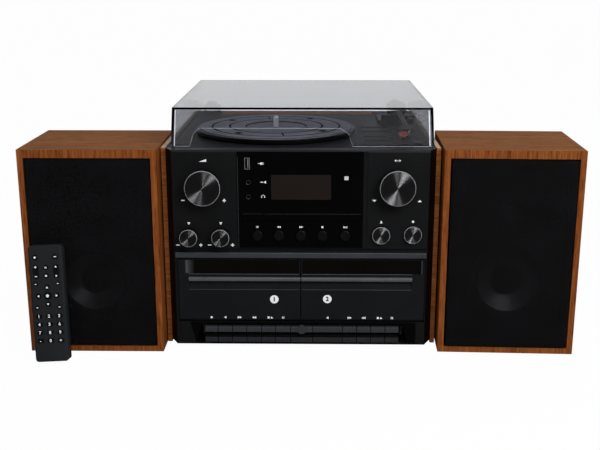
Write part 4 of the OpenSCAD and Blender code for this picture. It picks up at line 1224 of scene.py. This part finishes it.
class MUSIC_OT_cassette_decks(bpy.types.Operator):
    """Finish the cassette doors with their windows, and the piano keys."""
    bl_idname = "music.cassette_decks"
    bl_label = "Cassette doors and keys"

    def execute(self, context):
        edge = context.scene.music_centre_sizes.edge / MM
        for deck in (1, 2):
            softened(f"cassette_door_{deck}", f"door_{deck}_moulding", f"door_{deck}",
                     ["door", "ridge", "hollow"], edge, rule=self.door_rule)
            self.window(deck)
        for node in [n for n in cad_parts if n.startswith("key_")]:
            softened(node, f"{node}_cap", f"{node}_body", ["key", "hollow", "key_lip"],
                     0.4, 3, lambda middle, normal: key_zone(middle, 0))
        return {"FINISHED"}

    def door_rule(self, middle, normal):
        """Finger ridge across the door painted lighter as a highlight, over the painted shade of
        its hollow.
        """
        hollow_low, ridge_low, ridge_high = (v * MM for v in (90.0, 93.6, 99.2))
        if abs(normal.x) > ALONG:
            return 0
        # The ridge's front is painted a paler grey: painted highlight
        if ridge_low < middle.z < ridge_high and middle.y < FRONT_Y - 0.2 * MM:
            return 1
        # The finger hollow below the ridge takes the near-black: painted shade
        in_hollow = FRONT_Y + 0.3 * MM < middle.y < FRONT_Y + 4 * MM
        return 2 if in_hollow and hollow_low < middle.z < ridge_low else 0

    def window(self, deck):
        """Glossy window slab, chamfered towards the outer side, and two ledges below it."""
        low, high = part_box(f"cassette_door_{deck}")
        first = deck == 1
        out = -1 if first else 1
        outer = (low.x if first else high.x) - out * 3.2 * MM
        inner = (high.x if first else low.x) + out * 1.7 * MM
        back, front = FRONT_Y + 0.55 * MM, FRONT_Y - 0.5 * MM
        slope = (17.0 if first else 1.6) * MM
        bm = bmesh.new()
        outline = [(outer, back), (outer, front + 0.9 * MM), (outer - out * slope, front),
                   (inner, front), (inner, back)]
        prism_outline(bm, outline, "z", (103.5 * MM, 121.2 * MM))
        mesh = bevel_mesh(bm, 0.25 * MM)

        def rule(middle, normal):
            if first and abs(middle.x - inner) < 0.5 * MM:
                return 2
            return 1 if abs(middle.x - outer) < slope and normal.y < -0.5 else 0
        paint_faces(mesh, rule)
        # The slope takes a painted sheen or a painted highlight, and the first window's inner end
        # a painted highlight
        slanted = "window_glow" if first else "painted_highlight_chamfer"
        finish_piece(f"door_{deck}_window", mesh, ["window", slanted, "painted_highlight_chamfer"],
                     f"door_{deck}")
        # Narrow ledges under the window and under the finger hollow, in the trim's paler grey:
        # painted highlights
        near, far = sorted((outer, inner))
        ends = (max(near, -0.1444), min(far, 0.1438))
        bm = bmesh.new()
        for z, depth, height in ((102.0, 0.5, 0.9), (81.0, 0.3, 0.55)):
            face = FRONT_Y - depth * MM
            outline = [(FRONT_Y + 0.1 * MM, z * MM), (face, z * MM),
                       (face, (z + 0.2) * MM), (FRONT_Y + 0.1 * MM, (z + height) * MM)]
            prism_outline(bm, outline, "x", ends)
        finish_mesh(f"door_{deck}_ledges", bm, ["trim"], f"door_{deck}")


class MUSIC_OT_turntable(bpy.types.Operator):
    """Finish the deck, platter, mat, arm and what is set on the deck."""
    bl_idname = "music.turntable"
    bl_label = "Turntable"

    def execute(self, context):
        softened("turntable_deck", "deck_moulding", "cabinet", ["deck"], 0.3)
        self.rear_rail()
        self.platter()
        for node, body, kind, slot in (
                ("arm_base", "cabinet", "black_and_shade_moulding", "black_plastic"),
                ("arm_gimbal", "arm_carrier", "black_and_shade_moulding", "arm_black"),
                ("tonearm", "arm", "black_and_shade_moulding", "arm_black"),
                ("cartridge", "arm", "red", "red_plastic"),
                ("cue_lever", "cue", "black_and_shade_moulding", "arm_black"),
                ("speed_switch", "speed", "black_and_shade_moulding", "arm_black")):
            softened(node, f"{node}_part", body, [kind], 0.3)
        return {"FINISHED"}

    def rear_rail(self):
        """Foiled rail behind the platter, between the hinges and the arm."""
        bm = bmesh.new()
        add_box(bm, (-128 * MM, 160 * MM, DECK_TOP - 0.1 * MM),
                (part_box("arm_base")[0].x - 4 * MM, 189 * MM, DECK_TOP + 0.15 * MM))
        finish_mesh("rear_rail_foil", bm, ["foil_across"], "cabinet")

    def platter(self):
        """Turned platter with a rounded rim, a drive ring and a hub, its spindle and its mat."""
        centre = box_centre("platter_mat")
        spot = (centre.x, centre.y, 0)
        low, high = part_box("platter")
        rim = (high.x - low.x) / 2
        bottom = DECK_TOP + 0.6 * MM
        top = bottom + 6.4 * MM
        web = top - 2.2 * MM
        seat = top - 0.6 * MM
        bm = bmesh.new()
        upper = [(-3, -0.1), (-2.4, 0), (-1.6, 0), (-0.6, -0.4), (0, -1.4)]
        lathe(bm, [(rim - 3 * MM, seat), *in_metres(upper, (rim, top)),
                   *in_metres([(0, 1.0), (-0.8, 0), (-3, 0)], (rim, bottom)),
                   (rim - 3 * MM, web), (75 * MM, web),
                   *in_metres([(75, 0.4), (72, 0.4)], (0, bottom)), (72 * MM, web),
                   (12 * MM, web), (12 * MM, bottom), (3.1 * MM, bottom),
                   (3.1 * MM, seat), (rim - 3 * MM, seat)], spot, "z", steps=160)
        finish_mesh("platter_turned", bm, ["platter"], "platter", ("platter",))
        # Spindle with a round nose, and its shaft down into the bearing
        bm = bmesh.new()
        nose = [(3.6, -2.6), (3.3, -1.4), (2.4, -0.4), (1.2, -0.02), (0, 0)]
        lathe(bm, [(0, low.z), (3 * MM, low.z), *in_metres([(3, -1), (3.6, -1)], (0, top)),
                   *in_metres(nose, (0, high.z))], spot, "z", steps=48)
        finish_mesh("record_spindle", bm, ["spindle"], "platter")
        self.mat(spot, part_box("platter_mat")[1].z - 0.4 * MM, seat)

    def mat(self, spot, top, bottom):
        """Rubber mat with turned rings, a sunk middle, four raised pads and two marks."""
        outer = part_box("platter_mat")[1].x - spot[0]
        hole, sunk = 3.9 * MM, top - 1.5 * MM
        groove_width, groove_depth = 1.6 * MM, 0.4 * MM
        profile = [(hole, bottom), (outer, bottom), (outer, top - 0.4 * MM),
                   (outer - 0.6 * MM, top)]
        for radius in (88 * MM, 64 * MM):
            profile += [(radius + groove_width, top),
                        (radius + groove_width * 0.5, top - groove_depth),
                        (radius - groove_width * 0.5, top - groove_depth),
                        (radius - groove_width, top)]
        profile += [(42.5 * MM, top), (41.0 * MM, sunk), (8 * MM, sunk),
                    (7.4 * MM, top - 1.2 * MM), (hole, top - 1.2 * MM), (hole, bottom)]
        bm = bmesh.new()
        lathe(bm, profile, spot, "z", steps=160)
        # Faces down in the rings and on the step to the sunk middle take the dark rubber: painted
        # shade
        for face in bm.faces:
            if top - 1.0 * MM < face.calc_center_median().z < top - 0.1 * MM:
                face.material_index = 1
        finish_mesh("mat_turned", bm, ["mat", "mat_marks_and_shade"], "platter",
                    ("platter_mat",))
        bm = bmesh.new()
        pad, mark = (75, 4.5, 0.35), (65, 1.0, 0.15)
        for angle, (start, half, height) in (
                (54, pad), (144, pad), (234, pad), (324, pad), (100, mark), (-81, mark)):
            faces = add_box(bm, (start * MM, -half * MM, top - 0.1 * MM),
                            (84 * MM, half * MM, top + height * MM))
            turn = Matrix.Translation(spot) @ Matrix.Rotation(math.radians(angle), 4, "Z")
            # The first two faces are the box's ends, which hold all its corners
            bmesh.ops.transform(bm, matrix=turn, verts=[v for f in faces[:2] for v in f.verts])
        finish_mesh("mat_pads", bm, ["mat_marks_and_shade"], "platter")


class MUSIC_OT_lid(bpy.types.Operator):
    """Make the smoked lid with cut edges that have a painted glow, its hinge knuckles and their
    pins.
    """
    bl_idname = "music.lid"
    bl_label = "Smoked lid"

    def execute(self, context):
        low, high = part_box("dust_cover")
        middle_x, half = (low.x + high.x) / 2, (high.x - low.x) / 2
        bottom = DECK_TOP + 0.5 * MM
        hinges = (-0.146, 0.150)
        axis_y, axis_z = 0.1905, 0.2695
        # The step cut out of the front wall, as its two ends and its height
        notch_x, notch_top = (-0.1425, 0.0675), 0.2884

        def at_hinge(middle):
            across = min(abs(middle.x - x) for x in hinges)
            return (middle.y > axis_y - 7.5 * MM and across < 7.6 * MM
                    and middle.z < DECK_TOP + 14.2 * MM)

        def front_rule(middle, normal):
            """Edges of the front wall; None where it has none."""
            # The notch's cut edges and the inner corners take the faintly glowing edge finish:
            # painted light
            if notch_x[0] < middle.x < notch_x[1] and middle.z < notch_top:
                return 1
            # The top front edge and the outer corners take a dark gloss: painted shade
            outer_corner = normal.y < -0.1 and abs(normal.x) > 0.15
            if middle.z > high.z - 1.0 * MM and normal.z > 0.1 or outer_corner:
                return 4
            # Inner corners, with the top and with the sides
            inside = abs(middle.x - middle_x) > half - 7.5 * MM
            return 1 if normal.y > 0.2 and (inside or middle.z > high.z - 4 * MM) else None

        def lid_rule(middle, normal):
            if at_hinge(middle):
                return 2
            if middle.y > axis_y - 4 * MM and abs(middle.z - axis_z) < 2.3 * MM:
                return 3
            if middle.y < low.y + 5.2 * MM and abs(normal.y) < 0.97:
                found = front_rule(middle, normal)
                if found is not None:
                    return found
            # The bottom edge takes the faintly glowing edge finish: painted light
            if middle.z < bottom + 0.9 * MM and abs(normal.z) < 0.98:
                return 1
            return 0 if abs(normal.z) > ALONG else 5
        softened("dust_cover", "smoked_lid", "lid",
                 ["lid", "lid_edge", "moulding", "steel", "lid_shade", "lid_wall"],
                 context.scene.music_centre_sizes.lid_edge / MM, 3, lid_rule)
        self.corner_lines(low, high)
        return {"FINISHED"}

    def corner_lines(self, low, high):
        """Glowing strips inside the front wall: painted light where its moulded corners gather the
        light.
        """
        bottom, top = low.z + 1.0 * MM, high.z - 3.6 * MM
        # The lid's sides lean in by 3 mm over their height
        lean = 3.0 * MM * (top - bottom) / (high.z - low.z)
        depths = (low.y + 1.9 * MM, low.y + 2.2 * MM)
        bm = bmesh.new()
        for edge, inward, start, width in ((low.x, 1, 4.0, 0.9), (high.x, -1, 4.6, 1.5)):
            near = edge + inward * start * MM
            far = near + inward * width * MM
            prism_outline(bm, [(near, bottom), (far, bottom), (far + inward * lean, top),
                               (near + inward * lean, top)], "y", depths)
        prism_outline(bm, [(low.x + 26 * MM, top - 0.1 * MM), (high.x - 46 * MM, top - 0.1 * MM),
                           (high.x - 60 * MM, top + 0.5 * MM), (low.x + 90 * MM, top + 0.5 * MM)],
                      "y", depths)
        finish_mesh("lid_corner_lines", bm, ["lid_corner"], "lid")


class MUSIC_OT_remote(bpy.types.Operator):
    """Finish the remote control's case and keys, with plain numbers on the number keys."""
    bl_idname = "music.remote"
    bl_label = "Remote control"

    def execute(self, context):
        softened("remote_shell", "remote_case", "remote", ["remote"], 0.3)
        softened("remote_keypad", "remote_keys", "remote", ["keypad"], 0.35)
        self.legends()
        return {"FINISHED"}

    def legends(self):
        """Numbers and plain signs printed on the keys."""
        # The case leans on the left grille: lean and roll as in the photograph, sizes in mm
        lean, roll = math.radians(10.2), math.radians(2.9)
        length, thick, column, key_rise = 148.5, 15, 12.8, 0.9
        foot_y = -0.1667 - (length * math.sin(lean) + thick * math.cos(lean)) * MM
        place = (Matrix.Translation((-312.6 * MM, foot_y, 3.4 * MM))
                 @ Matrix.Rotation(-lean, 4, "X") @ Matrix.Rotation(-roll, 4, "Y"))
        surface = -key_rise * MM
        ring, dash = length - 64, bar_mark(2.2, 0.9)
        marks = [
            (-column, length - 15, dot_mark(1.3)), (column, length - 15, bar_mark(3.2, 1.1)),
            (-column, length - 27.2, plus_mark(3.0)), (-column, length - 39.0, minus_mark(3.0)),
            (column, length - 27.4, triangle_mark(2.4, 0)),
            (column, length - 39.4, triangle_mark(2.4, 180)),
            (0, length - 28.2, pause_mark(2.4)), (0, length - 38.6, bar_mark(2.2, 2.2)),
            (-11.5, ring, triangle_mark(2.6, 90)), (11.5, ring, triangle_mark(2.6, -90)),
            (0, ring + 10.7, triangle_mark(2.6, 0)), (0, ring - 10.7, triangle_mark(2.6, 180)),
            (0, ring, dot_mark(1.9)), (-14, ring + 15.1, dash), (14, ring + 15.1, dash),
            (-14, ring - 14.6, dash), (14, ring - 14.6, dash),
        ]
        bm = bmesh.new()
        add_marks(bm, marks, surface - 0.1 * MM, surface + PRINT_SUNK)
        top_row, row_pitch = length - 89.9, 10.45
        for i, label in enumerate("123456789-0+"):
            row, across = divmod(i, 3)
            mesh = text_mesh(label, 5.4, 0.1, 0.14)
            x, z = (across - 1) * column, top_row - row * row_pitch
            mesh.transform(Matrix.Translation((x * MM, surface - 0.06 * MM, z * MM)))
            bm.from_mesh(mesh)
        bm.transform(place)
        finish_mesh("remote_legends", bm, ["ink"], "remote")


# Nodes that keep their CAD mesh, each with its finish
PLAIN_NODES = (
    ("base_chassis", "moulding"), ("main_board", "board"), ("cd_mechanism", "inner"),
    ("cassette_mechanisms", "inner"), ("platter_motor", "zinc"), ("front_sockets", "rubber"),
    ("feet", "rubber"), ("drive_belt", "rubber"), ("motor_pulley", "brass"),
    ("volume_shaft", "zinc"), ("select_shaft", "zinc"),
)
# Places across the back in mm, with the index of their paint: red, grey, red and white
TERMINAL_LEVERS = ((-76, 1), (-64, 2), (-36, 1), (-24, 2))
LINE_SOCKETS = ((52, 1), (70, 3))


class MUSIC_OT_back_and_inside(bpy.types.Operator):
    """Finish the back plate, the sockets, the disc tray and what is inside."""
    bl_idname = "music.back_and_inside"
    bl_label = "Back and inside"

    def execute(self, context):
        for node, kind in PLAIN_NODES:
            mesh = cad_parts[node].data
            mesh.materials.clear()
            mesh.materials.append(MATERIALS[kind])
        tray_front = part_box("cd_tray")[0].y

        def tray_rule(middle, normal):
            """Glossy front with a painted highlight on its upper edge, and the satin tray behind
            it.
            """
            if middle.y > tray_front + 2.3 * MM:
                return 2
            return 1 if normal.z > 0.3 and middle.y < tray_front + 0.5 * MM else 0
        softened("cd_tray", "disc_tray", "tray", ["panel", "painted_highlight_chamfer", "tray"],
                 0.4, 3, tray_rule)
        self.socket_metal()
        self.terminals()
        return {"FINISHED"}

    def socket_metal(self):
        """Bright shell of the flat socket and the rings of the two plug sockets."""
        flat_x, flat_z = -66.7 * MM, 247.8 * MM
        plug_x, plug_rows = -65.5 * MM, (223.9, 205.3)
        front = FRONT_Y - 1.1 * MM
        bm = bmesh.new()
        # Four walls and the tongue, as x, z and how far each starts behind the front, in mm
        for x0, x1, z0, z1, start in (
                (-3.3, 3.3, 6.6, 7.3, 0), (-3.3, 3.3, -7.3, -6.6, 0), (-3.3, -2.6, -6.6, 6.6, 0),
                (2.6, 3.3, -6.6, 6.6, 0), (0.2, 1.6, -5.4, 5.4, 0.8)):
            add_box(bm, (flat_x + x0 * MM, front + start * MM, flat_z + z0 * MM),
                    (flat_x + x1 * MM, front + 6 * MM, flat_z + z1 * MM))
        finish_mesh("data_socket_shell", bm, ["socket_shell"], "cabinet")
        bm = bmesh.new()
        ring = in_metres([(2.3, -0.1), (2.5, -0.3), (2.9, -0.3), (3.05, 0.3), (2.3, 0.3),
                          (2.3, -0.1)])
        for z in plug_rows:
            lathe(bm, ring, (plug_x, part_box("front_sockets")[0].y, z * MM), "y", 32)
        finish_mesh("plug_socket_rings", bm, ["zinc"], "cabinet")

    def terminals(self):
        """Back plate with the coloured levers of its speaker terminals and its line sockets."""
        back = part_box("rear_panel")[1].y - 6 * MM
        socket_z = 46

        def plate_rule(middle, _):
            """Paint of a lever, a socket or an inlet pin, else the plate's own."""
            x, z = middle.x / MM, middle.z / MM
            for lever, paint in TERMINAL_LEVERS:
                if middle.y > back + 1.6 * MM and abs(x - lever) < 4.2 and z > 47.5:
                    return paint
            for socket, paint in LINE_SOCKETS:
                if middle.y > back + 0.2 * MM and math.hypot(x - socket, z - socket_z) < 5.7:
                    return paint
            # Pins of the mains inlet
            pin = abs(z - 40) < 1.4 and abs(abs(x - 130) - 4) < 1.3
            return 4 if pin and middle.y < back - 4.0 * MM else 0
        softened("rear_panel", "back_plate", "cabinet",
                 ["moulding", "red_cap", "grey_cap", "white_cap", "zinc"], 0.3,
                 rule=plate_rule)
        bm = bmesh.new()
        collar = in_metres([(1.75, 4.6), (1.75, 5.3), (3.3, 5.3), (3.6, 5.0), (3.6, 4.6),
                            (1.75, 4.6)])
        for x, _ in LINE_SOCKETS:
            lathe(bm, collar, (x * MM, back, socket_z * MM), "y", 32)
        finish_mesh("line_socket_collars", bm, ["gold"], "cabinet")


class MUSIC_OT_stage(bpy.types.Operator):
    """Set the pale floor, the soft lamps and the camera at the photograph's angle."""
    bl_idname = "music.stage"
    bl_label = "Stage, lamps and camera"

    def execute(self, context):
        self.floor()
        self.world(context.scene)
        self.lamps()
        self.camera(context.scene)
        context.scene.view_settings.view_transform = "Standard"
        return {"FINISHED"}

    def seen_directly(self, tree, path):
        """1 where the camera looks at a surface, also through the lid."""
        return add_node(tree, "ShaderNodeMath", {
            0: path.outputs["Is Camera Ray"], 1: path.outputs["Is Transmission Ray"]},
            operation="MAXIMUM").outputs[0]

    def floor(self):
        """Floor that the camera sees as white, with the object's shadow left on it."""
        bm = bmesh.new()
        half = 40.0
        bm.faces.new([bm.verts.new(c) for c in (
            (-half, -half, 0), (half, -half, 0), (half, half, 0), (-half, half, 0))])
        mesh = as_mesh(bm, "pale_floor")
        made, tree, shader, output = new_material("pale_floor_paper", {
            "Base Color": srgb("F2F2F2"), "Roughness": 0.9, "Specular IOR Level": 0.1})
        glow = add_node(tree, "ShaderNodeEmission", {"Color": (1, 1, 1, 1), "Strength": 1.0})
        dusk = add_node(tree, "ShaderNodeBsdfDiffuse", {"Color": srgb("1C1C1C")})
        path = add_node(tree, "ShaderNodeLightPath")
        # Gloss on the front sees a dimmer floor, as under flagged lamps
        gloss = add_node(tree, "ShaderNodeMixShader", {
            0: path.outputs["Is Glossy Ray"], 1: shader.outputs[0], 2: dusk.outputs[0]})
        share = add_node(tree, "ShaderNodeMath", {
            0: self.seen_directly(tree, path), 1: FLOOR_WHITE}, operation="MULTIPLY")
        add_node(tree, "ShaderNodeMixShader", {
            0: share.outputs[0], 1: gloss.outputs[0], 2: glow.outputs[0]}, into=output.inputs[0])
        mesh.materials.append(made)
        scratch_object("pale_floor", mesh)

    def world(self, scene):
        """White backdrop that lights the object softly."""
        world = bpy.data.worlds.new("pale_studio")
        world.use_nodes = True
        tree = world.node_tree
        tree.nodes.clear()
        # Seen in gloss, the studio is white behind the object and dim behind the camera
        place = add_node(tree, "ShaderNodeTexCoord")
        split = add_node(tree, "ShaderNodeSeparateXYZ", {0: place.outputs["Generated"]})
        depth = add_node(tree, "ShaderNodeMapRange", {
            "Value": split.outputs["Y"], "From Min": 0.0, "From Max": 0.35,
            "To Min": 0.006, "To Max": 0.8})
        soft, gloss, white = (
            add_node(tree, "ShaderNodeBackground", {"Color": (1, 1, 1, 1), "Strength": strength})
            for strength in (WORLD_LIGHT, depth.outputs[0], 1.0))
        path = add_node(tree, "ShaderNodeLightPath")
        shiny = add_node(tree, "ShaderNodeMixShader", {
            0: path.outputs["Is Glossy Ray"], 1: soft.outputs[0], 2: gloss.outputs[0]})
        mix = add_node(tree, "ShaderNodeMixShader", {
            0: self.seen_directly(tree, path), 1: shiny.outputs[0], 2: white.outputs[0]})
        add_node(tree, "ShaderNodeOutputWorld", {0: mix.outputs[0]})
        scene.world = world

    def lamps(self):
        """Softboxes, which leave no image of themselves in the mirror-smooth lid."""
        for name, spot, size, watts in LAMPS:
            light = bpy.data.lights.new(name, "AREA")
            light.shape = "RECTANGLE"
            light.size, light.size_y = size
            light.energy = watts
            light.use_nodes = True
            tree = light.node_tree
            path = add_node(tree, "ShaderNodeLightPath")
            add_node(tree, "ShaderNodeMath", {0: 1.0, 1: path.outputs["Is Singular Ray"]},
                     into=tree.nodes["Emission"].inputs["Strength"], operation="SUBTRACT")
            lamp = scratch_object(name, light)
            lamp.location = spot
            lamp.rotation_euler = (LAMP_AIM - Vector(spot)).to_track_quat("-Z", "Y").to_euler()

    def camera(self, scene):
        """Camera fitted to the photograph: 56 mm lens, 15 degrees down."""
        data = bpy.data.cameras.new("photo_camera")
        data.sensor_width = SENSOR_MM
        data.lens = FOCAL_PIXELS / PHOTO_WIDTH * SENSOR_MM
        data.clip_end = 200.0
        yaw, pitch, roll = (math.radians(a) for a in CAMERA_TURN)
        ahead = Vector((math.sin(yaw) * math.cos(pitch), math.cos(yaw) * math.cos(pitch),
                        -math.sin(pitch)))
        right = Vector((math.cos(yaw), -math.sin(yaw), 0))
        up = right.cross(ahead)
        side = right * math.cos(roll) + up * math.sin(roll)
        head = up * math.cos(roll) - right * math.sin(roll)
        turn = Matrix((side, head, -ahead)).transposed().to_4x4()
        camera = scratch_object("photo_camera", data)
        camera.matrix_world = Matrix.Translation(CAMERA_PLACE) @ turn
        scene.camera = camera


class MUSIC_PT_panel(bpy.types.Panel):
    """Lists the sizes, the colours and the steps that make the music centre."""
    bl_idname = "MUSIC_PT_panel"
    bl_label = "Stereo music centre"
    bl_space_type = "VIEW_3D"
    bl_region_type = "UI"
    bl_category = "Music centre"

    def draw(self, context):
        for group, keys in ((context.scene.music_centre_sizes, ("edge", "board_edge", "lid_edge")),
                            (context.scene.music_centre_colours, ("moulding", "trim", "knob"))):
            for key in keys:
                self.layout.prop(group, key)
        for step in STEPS:
            self.layout.operator(step.bl_idname)


STEPS = (
    MUSIC_OT_cabinet_wood, MUSIC_OT_grilles, MUSIC_OT_front, MUSIC_OT_controls,
    MUSIC_OT_cassette_decks, MUSIC_OT_printing, MUSIC_OT_turntable, MUSIC_OT_lid,
    MUSIC_OT_remote, MUSIC_OT_back_and_inside, MUSIC_OT_stage,
)
CLASSES = (MusicCentreSizes, MusicCentreColours, *STEPS, MUSIC_PT_panel)


def register():
    """Registers the classes and hangs both property groups on the scene."""
    for item in CLASSES:
        bpy.utils.register_class(item)
    bpy.types.Scene.music_centre_sizes = bpy.props.PointerProperty(type=MusicCentreSizes)
    bpy.types.Scene.music_centre_colours = bpy.props.PointerProperty(type=MusicCentreColours)


def unregister():
    """Takes the property groups and the classes away again."""
    del bpy.types.Scene.music_centre_colours
    del bpy.types.Scene.music_centre_sizes
    for item in reversed(CLASSES):
        bpy.utils.unregister_class(item)


def main():
    """Runs every step in order."""
    register()
    make_materials()
    for step in STEPS:
        group, name = step.bl_idname.split(".")
        getattr(getattr(bpy.ops, group), name)()


if __name__ == "__main__":
    main()
